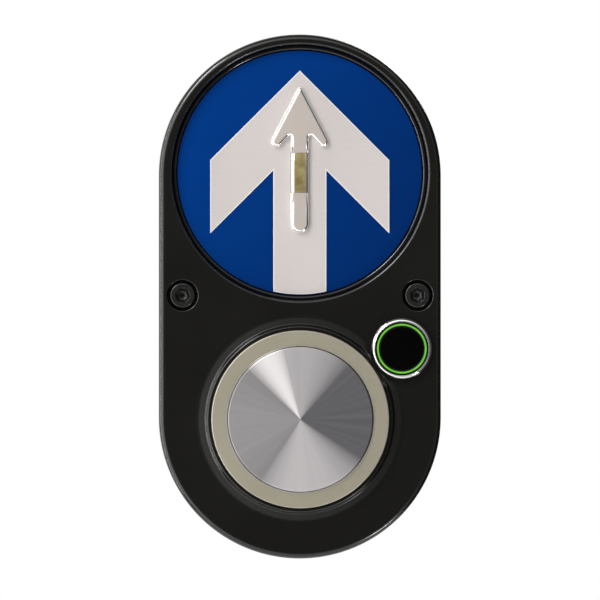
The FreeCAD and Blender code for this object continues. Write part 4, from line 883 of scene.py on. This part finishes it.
def lathe_faced_steel_painted_sheen():
    """Stainless steel whose turning marks are rings, with a painted sheen in its colour: fine radial
    streaks and wedges of painted reflection. Each wedge is the cosine of the angle from its middle,
    cut off at its half width."""
    paint = Paint("lathe_faced_steel_painted_sheen", Metallic=0.35)
    where = paint.place(centre=(button_centre[0], 0, button_centre[1]), stretch=(1, 0, 1))
    reach = paint.length_of(where)
    across = paint.part_of(where, 0)
    height = paint.part_of(where, 2)
    turn = across.maths("ARCTAN2", height)
    lines = paint.fine_rings(reach, 7000.0, 4.0)
    # Painted sheen: the radial streaks and the wedges below lighten the colour by the angle about the cap's
    # middle, standing in for reflected light.
    painted_streaks = paint.fine_rings(turn, 9.0, 4.0)
    sheen = lines * 0.05 + painted_streaks * 0.06 + 0.04
    for hour, half_width, strength in painted_sheen_wedges:
        limit = math.cos(half_width * math.pi / 6)
        near = (turn - hour * math.pi / 6).maths("COSINE")
        sheen = sheen + ((near - limit) / (1 - limit)).clamp().maths("POWER", 0.7) * strength
    paint.feed(
        Base_Color=paint.blend(sheen.clamp(), (0.040, 0.041, 0.050, 1), (1.0, 0.95, 0.95, 1)),
        Roughness=lines * 0.1 + 0.3,
        Normal=paint.bump(lines, 0.12, 0.00004),
    )
    return paint.material


dished = np.linspace(0, 1, 40)
cap_face = np.stack([cap_radius * 0.985 * (1 - dished), cap_front - dome * (1 - dished) ** 2], axis=-1)
cap_side = rounded(
    [(cap_radius - 2 * MM, cap_front - 2.6 * MM), (cap_radius - 2 * MM, cap_back), (cap_radius, cap_back),
     (cap_radius, cap_front - dome), (cap_radius * 0.985, cap_front - dome)],
    [0, 0.3 * MM, 0.3 * MM, 0.45 * MM, 0], steps=6)
inside = [(0, cap_front - 2.6 * MM)]
cap_points = turned_points(np.concatenate([inside, cap_side, cap_face[1:]]), button_centre, 256)
piece("button_face", [(cap_points, quads(*cap_points.shape[:2]))], lathe_faced_steel_painted_sheen(), "push_button",
      ["button_cap"])


# Touchless sensor: a chromed bezel screwed into the cover, a light ring that shines green and a
# black glass lens that hides the sensor's eye.

bezel_radius = bezel_high[0] - sensor_centre[0]
bezel_front, bezel_back = -bezel_low[1], -bezel_high[1]
glow_low, glow_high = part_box("sensor_light_ring")
lens_low, lens_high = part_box("sensor_lens")
glow_radius = glow_high[0] - sensor_centre[0]
glow_bore = 10.5 * MM
glow_front = -glow_low[1]
lens_radius = lens_high[0] - sensor_centre[0]
lens_front, lens_back = -lens_low[1], -lens_high[1]


def mirror_chrome():
    """Bright chrome plate with the faintest ripple of polishing, and a blackened throat."""
    paint = Paint("mirror_chrome", Metallic=1.0)
    ripple = paint.noise(paint.place(), 260.0, 2.0)
    throat = paint.share_of("throat")
    plate = paint.blend(ripple, (0.78, 0.78, 0.79, 1), (0.86, 0.86, 0.86, 1))
    paint.feed(Base_Color=paint.blend(throat, plate, (0.012, 0.014, 0.012, 1)),
               Roughness=ripple * 0.04 + 0.03, Normal=paint.bump(ripple, 0.05, 0.00008))
    return paint.material


def green_light_guide():
    """Moulded light guide lit green from behind, a little brighter over each lamp and along the
    middle of its face: the light falls off straight with the distance from the middle circle."""
    paint = Paint("green_light_guide", Roughness=0.35, Emission_Strength=0.75)
    where = paint.place(centre=(sensor_centre[0], 0, sensor_centre[1]))
    across = paint.part_of(where, 0)
    height = paint.part_of(where, 2)
    lamps = (across.maths("ARCTAN2", height) * 8.0).maths("COSINE") * 0.5 + 0.5
    reach = paint.length_of(paint.place(centre=(sensor_centre[0], 0, sensor_centre[1]), stretch=(1, 0, 1)))
    band = (1.25 - (reach - 11.05 * MM).maths("ABSOLUTE") / (0.42 * MM)).clamp()
    milk = paint.noise(paint.place(), 500.0, 2.0)
    glow = paint.blend((lamps * 0.5 + milk * 0.3).clamp(), (0.15, 0.70, 0.02, 1), (0.30, 0.92, 0.06, 1))
    paint.feed(Base_Color=paint.blend(milk, (0.01, 0.05, 0.006, 1), (0.02, 0.08, 0.01, 1)),
               Emission_Color=paint.blend(band, (0.003, 0.02, 0.001, 1), glow))
    return paint.material


def black_glass():
    """Black glass lens, polished, with a trace of haze."""
    paint = Paint("black_glass", Specular_IOR_Level=0.2)
    haze = paint.noise(paint.place(), 90.0, 3.0)
    paint.feed(Base_Color=paint.blend(haze, (0.0006, 0.0006, 0.0006, 1), (0.0012, 0.0013, 0.0012, 1)),
               Roughness=haze * 0.04 + 0.04)
    return paint.material


dome_turn = np.linspace(0, np.pi / 2, 12)
bezel_inner = 12.05 * MM
crown = np.stack([bezel_radius - 1.5 * MM * (1 - np.cos(dome_turn)),
                  bezel_back + 0.5 * MM + (bezel_front - bezel_back - 0.5 * MM) * np.sin(dome_turn)], axis=-1)
throat = np.stack([bezel_inner + 0.5 * MM * (1 - np.sin(dome_turn)),
                   bezel_front - 0.5 * MM * (1 - np.cos(dome_turn))], axis=-1)
sensor_profile = np.concatenate([[(bezel_inner, bezel_back), (bezel_radius, bezel_back)], crown, throat])
sensor_points = turned_points(sensor_profile, sensor_centre, 144)
collar_piece = piece("sensor_collar", [(sensor_points, quads(*sensor_points.shape[:2], wrap_rows=True))],
                     mirror_chrome(), "housing", ["sensor_bezel"])
edge_share(collar_piece, "throat", (off_axis(collar_piece, sensor_centre) < bezel_inner + 0.3 * MM) * 1.0)
glow_profile = rounded(
    [(glow_bore, -glow_high[1]), (glow_radius, -glow_high[1]),
     (glow_radius, glow_front), (glow_bore, glow_front)],
    [0.1 * MM, 0.1 * MM, 0.4 * MM, 0.4 * MM], steps=4, closed=True)
glow_points = turned_points(glow_profile, sensor_centre, 144)
piece("light_ring", [(glow_points, quads(*glow_points.shape[:2], wrap_rows=True))],
      green_light_guide(), "housing", ["sensor_light_ring"])
bow = np.linspace(0, 1, 14)
lens_face = np.stack([(lens_radius - 0.3 * MM) * (1 - bow), lens_front - 0.35 * MM * (1 - bow) ** 2], axis=-1)
lens_profile = np.concatenate([[(0, lens_back), (lens_radius, lens_back),
                                (lens_radius, lens_front - 0.65 * MM),
                                (lens_radius - 0.12 * MM, lens_front - 0.45 * MM)], lens_face])
lens_points = turned_points(lens_profile, sensor_centre, 96)
piece("sensor_glass", [(lens_points, quads(*lens_points.shape[:2]))], black_glass(), "housing",
      ["sensor_lens"])


# Works inside the case: turned, pressed and moulded parts that keep their machined shapes and
# get the finish of the stock that each is made from.

def machined(name, dark, light, rough, metal, grain=1200.0, stretch=(1, 1, 1), relief=0.2):
    """Stock finish: a grain that shifts between two tones, with its roughness and a fine relief."""
    paint = Paint(name, Metallic=metal)
    marks = paint.noise(paint.place(stretch=stretch), grain, 4.0, 0.6)
    tone = paint.noise(paint.place(), 90.0, 3.0)
    paint.feed(
        Base_Color=paint.blend((marks * 0.6 + tone * 0.4).clamp(), dark + (1,), light + (1,)),
        Roughness=marks * 0.18 + rough,
        Normal=paint.bump(marks, relief, 0.00006),
    )
    return paint.material


def finish_for(slot):
    """Material for one slot of the record."""
    tones = {
        "steel": ((0.34, 0.34, 0.35), (0.58, 0.58, 0.59), 0.25, 1.0, 1.0, (200, 2400, 200)),
        "spring_steel": ((0.30, 0.30, 0.32), (0.55, 0.55, 0.57), 0.2, 1.0, 900.0, (1, 1, 1)),
        "zinc": ((0.42, 0.44, 0.46), (0.68, 0.69, 0.70), 0.3, 1.0, 500.0, (1, 1, 1)),
        "nickel_brass": ((0.45, 0.42, 0.34), (0.68, 0.65, 0.56), 0.22, 1.0, 1.0, (300, 2600, 300)),
        "magnet_black": ((0.012, 0.012, 0.013), (0.05, 0.05, 0.05), 0.5, 0.0, 1500.0, (1, 1, 1)),
        "copper_wire": ((0.36, 0.10, 0.03), (0.72, 0.30, 0.12), 0.2, 1.0, 1.0, (200, 9000, 200)),
        "plastic_black": ((0.012, 0.012, 0.012), (0.03, 0.03, 0.03), 0.45, 0.0, 1800.0, (1, 1, 1)),
        "plastic_white": ((0.62, 0.61, 0.57), (0.80, 0.79, 0.76), 0.4, 0.0, 1500.0, (1, 1, 1)),
        "plastic_red": ((0.40, 0.02, 0.012), (0.58, 0.05, 0.03), 0.35, 0.0, 1500.0, (1, 1, 1)),
        "board_green": ((0.006, 0.09, 0.03), (0.02, 0.17, 0.06), 0.25, 0.0, 700.0, (1, 1, 1)),
        "chip_black": ((0.012, 0.012, 0.014), (0.035, 0.035, 0.038), 0.4, 0.0, 2200.0, (1, 1, 1)),
        "terminal_green": ((0.01, 0.24, 0.08), (0.03, 0.36, 0.13), 0.35, 0.0, 1500.0, (1, 1, 1)),
    }
    dark, light, rough, metal, grain, stretch = tones[slot]
    return machined(slot + "_stock", dark, light, rough, metal, grain, stretch)


stock = {"rubber_black": rubber}
for part in frame["record"]["subparts"]:
    node = frame["nodes"][part["node"]]
    slot = part["material_slot"]
    if node.hide_render:
        continue
    if slot not in stock:
        stock[slot] = finish_for(slot)
    for place in node.material_slots:
        place.material = stock[slot]


# Return spring: a coil of round steel wire between the barrel's floor and the cap. It is wound open.

spring_low, spring_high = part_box("return_spring")
spring_front, spring_back = -spring_low[1], -spring_high[1]
wire_radius = 0.78 * MM
coil_radius = (spring_high[0] - spring_low[0]) / 2 - 0.82 * MM


def wound_wire(turns, steps_a_turn=64, around=14):
    """Tube along a helix: the axis turns at an even rate while it climbs, and each ring of the
    tube lies in the plane of the radius and the direction square to the radius and the axis."""
    turn = np.linspace(0, 2 * np.pi * turns, turns * steps_a_turn + 1)[:, None]
    climb = (spring_front - spring_back - 2.1 * wire_radius) / turn[-1, 0]
    section = np.linspace(0, 2 * np.pi, around, endpoint=False)[None, :]
    slope = math.atan2(climb, coil_radius)
    out, along = wire_radius * np.cos(section), wire_radius * np.sin(section)
    reach = coil_radius + out
    across = button_centre[0] + reach * np.cos(turn) + along * math.sin(slope) * np.sin(turn)
    height = button_centre[1] + reach * np.sin(turn) - along * math.sin(slope) * np.cos(turn)
    forward = spring_back + 1.05 * wire_radius + climb * turn + along * math.cos(slope)
    return np.stack([across, -forward, height], axis=-1)


wire_points = wound_wire(5)
wire_ring = wire_points.shape[1]
spring = piece("wound_spring", [(wire_points, quads(*wire_points.shape[:2])),
                                (wire_points[0], [list(range(wire_ring))]),
                                (wire_points[-1], [list(range(wire_ring))])],
               stock["spring_steel"], "housing", ["return_spring"])
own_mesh(spring)


# Studio: a pale round floor under the hanging object, broad soft lights and a white surround.

def pale_floor():
    """Pale matte floor with a trace of mottling."""
    paint = Paint("pale_floor", Roughness=0.9)
    mottle = paint.noise(paint.place(), 8.0, 3.0)
    paint.feed(Base_Color=paint.blend(mottle, (0.83, 0.83, 0.83, 1), (0.88, 0.88, 0.88, 1)))
    return paint.material


floor_level = cad_box[0][2] - 0.14
floor_profile = np.array([(0.0, 0.0), (0.11, 0.0), (0.22, 0.0), (0.222, 0.002), (0.0, 0.004)])
floor_angle = np.linspace(0, 2 * np.pi, 96, endpoint=False)
floor_points = np.stack([floor_profile[:, 0, None] * np.cos(floor_angle),
                         floor_profile[:, 0, None] * np.sin(floor_angle),
                         floor_level - floor_profile[:, 1, None] + 0 * floor_angle], axis=-1)
floor_mesh = bpy.data.meshes.new("floor")
floor_mesh.from_pydata(floor_points.reshape(-1, 3).tolist(), [], quads(*floor_points.shape[:2]))
floor_mesh.materials.append(pale_floor())
floor = bpy.data.objects.new("floor", floor_mesh)
bpy.context.collection.objects.link(floor)


def soft_light(name, spot, aim, wide, tall, watts, colour=(1, 1, 1)):
    """Rectangular soft light at a spot, turned to face what it aims at."""
    lamp = bpy.data.lights.new(name, "AREA")
    lamp.shape = "RECTANGLE"
    lamp.size, lamp.size_y = wide, tall
    lamp.energy = watts
    lamp.color = colour
    holder = bpy.data.objects.new(name, lamp)
    holder.location = spot
    holder.rotation_euler = (Vector(aim) - Vector(spot)).to_track_quat("-Z", "Y").to_euler()
    bpy.context.collection.objects.link(holder)
    holder.visible_camera = False
    return holder


soft_light("upper_left", (-0.9, -0.9, 1.0), (0, -0.05, 0), 0.35, 0.6, 9)
soft_light("spark", (-0.62, -0.45, 0.85), (0, -0.05, 0), 0.06, 0.3, 1.6)
soft_light("left_card", (-0.95, -0.16, -0.05), (0, -0.03, 0), 0.10, 1.3, 6.0)
soft_light("low_strip", (0.15, -0.2, -0.9), (0, -0.03, -0.05), 0.7, 0.10, 3.2)
soft_light("lower_right", (0.5, -0.6, -0.75), (0, -0.05, 0.05), 0.25, 0.06, 2.2)
soft_light("behind", (0.7, 1.1, 0.9), (0, 0, 0), 0.8, 0.8, 14)


surround_strength = 1.93


def grey(level):
    """Colour of a grey level."""
    return (level, level, level, 1)


def surround_light(world):
    """Soft surround: dark in front of the object and dim on its right, bright in a broad band
    between, and plain white where the camera sees past the object."""
    tree = world.node_tree
    sky = Paint(tree=tree)
    toward = sky.node("ShaderNodeTexCoord", {}, {}, output=0)
    across = sky.part_of(toward, 0)
    frontness = sky.part_of(toward, 1) * -1.0
    height = sky.part_of(toward, 2)
    band = sky.ramp(frontness * 0.5 + 0.5, [
        (0.0, grey(0.35)), (0.30, grey(0.25)), (0.48, grey(0.03)), (0.67, grey(0.05)), (0.74, grey(0.80)),
        (0.90, grey(0.68)), (0.95, grey(0.08)), (0.985, grey(0.035)), (1.0, grey(0.035))])
    lean = (across * -1.25 + height * 0.22 + 1.0).maths("MAXIMUM", 0.12)
    glow = sky.node("ShaderNodeBackground", {}, {"Color": band, "Strength": lean * surround_strength})
    plain = sky.node("ShaderNodeBackground", {}, {"Color": (1, 1, 1, 1)})
    seen = sky.node("ShaderNodeLightPath", {}, {})
    mixed = sky.node("ShaderNodeMixShader", {}, {0: seen, 1: glow, 2: plain})
    tree.links.new(mixed.socket, tree.nodes["World Output"].inputs[0])


world = bpy.data.worlds.new("studio")
world.use_nodes = True
bpy.context.scene.world = world
surround_light(world)
bpy.context.scene.view_settings.view_transform = "Standard"

camera_data = bpy.data.cameras.new("camera")
camera_data.lens = 260
camera_data.sensor_width = 36
camera = bpy.data.objects.new("camera", camera_data)
stand_off = 2.016
side_step = math.radians(-1.5)
aim = Vector((0.00055, -0.03, -0.0016))
camera.location = aim + Vector((math.sin(side_step) * stand_off, -math.cos(side_step) * stand_off, 0))
camera.rotation_euler = (aim - camera.location).to_track_quat("-Z", "Y").to_euler()
bpy.context.collection.objects.link(camera)
bpy.context.scene.camera = camera
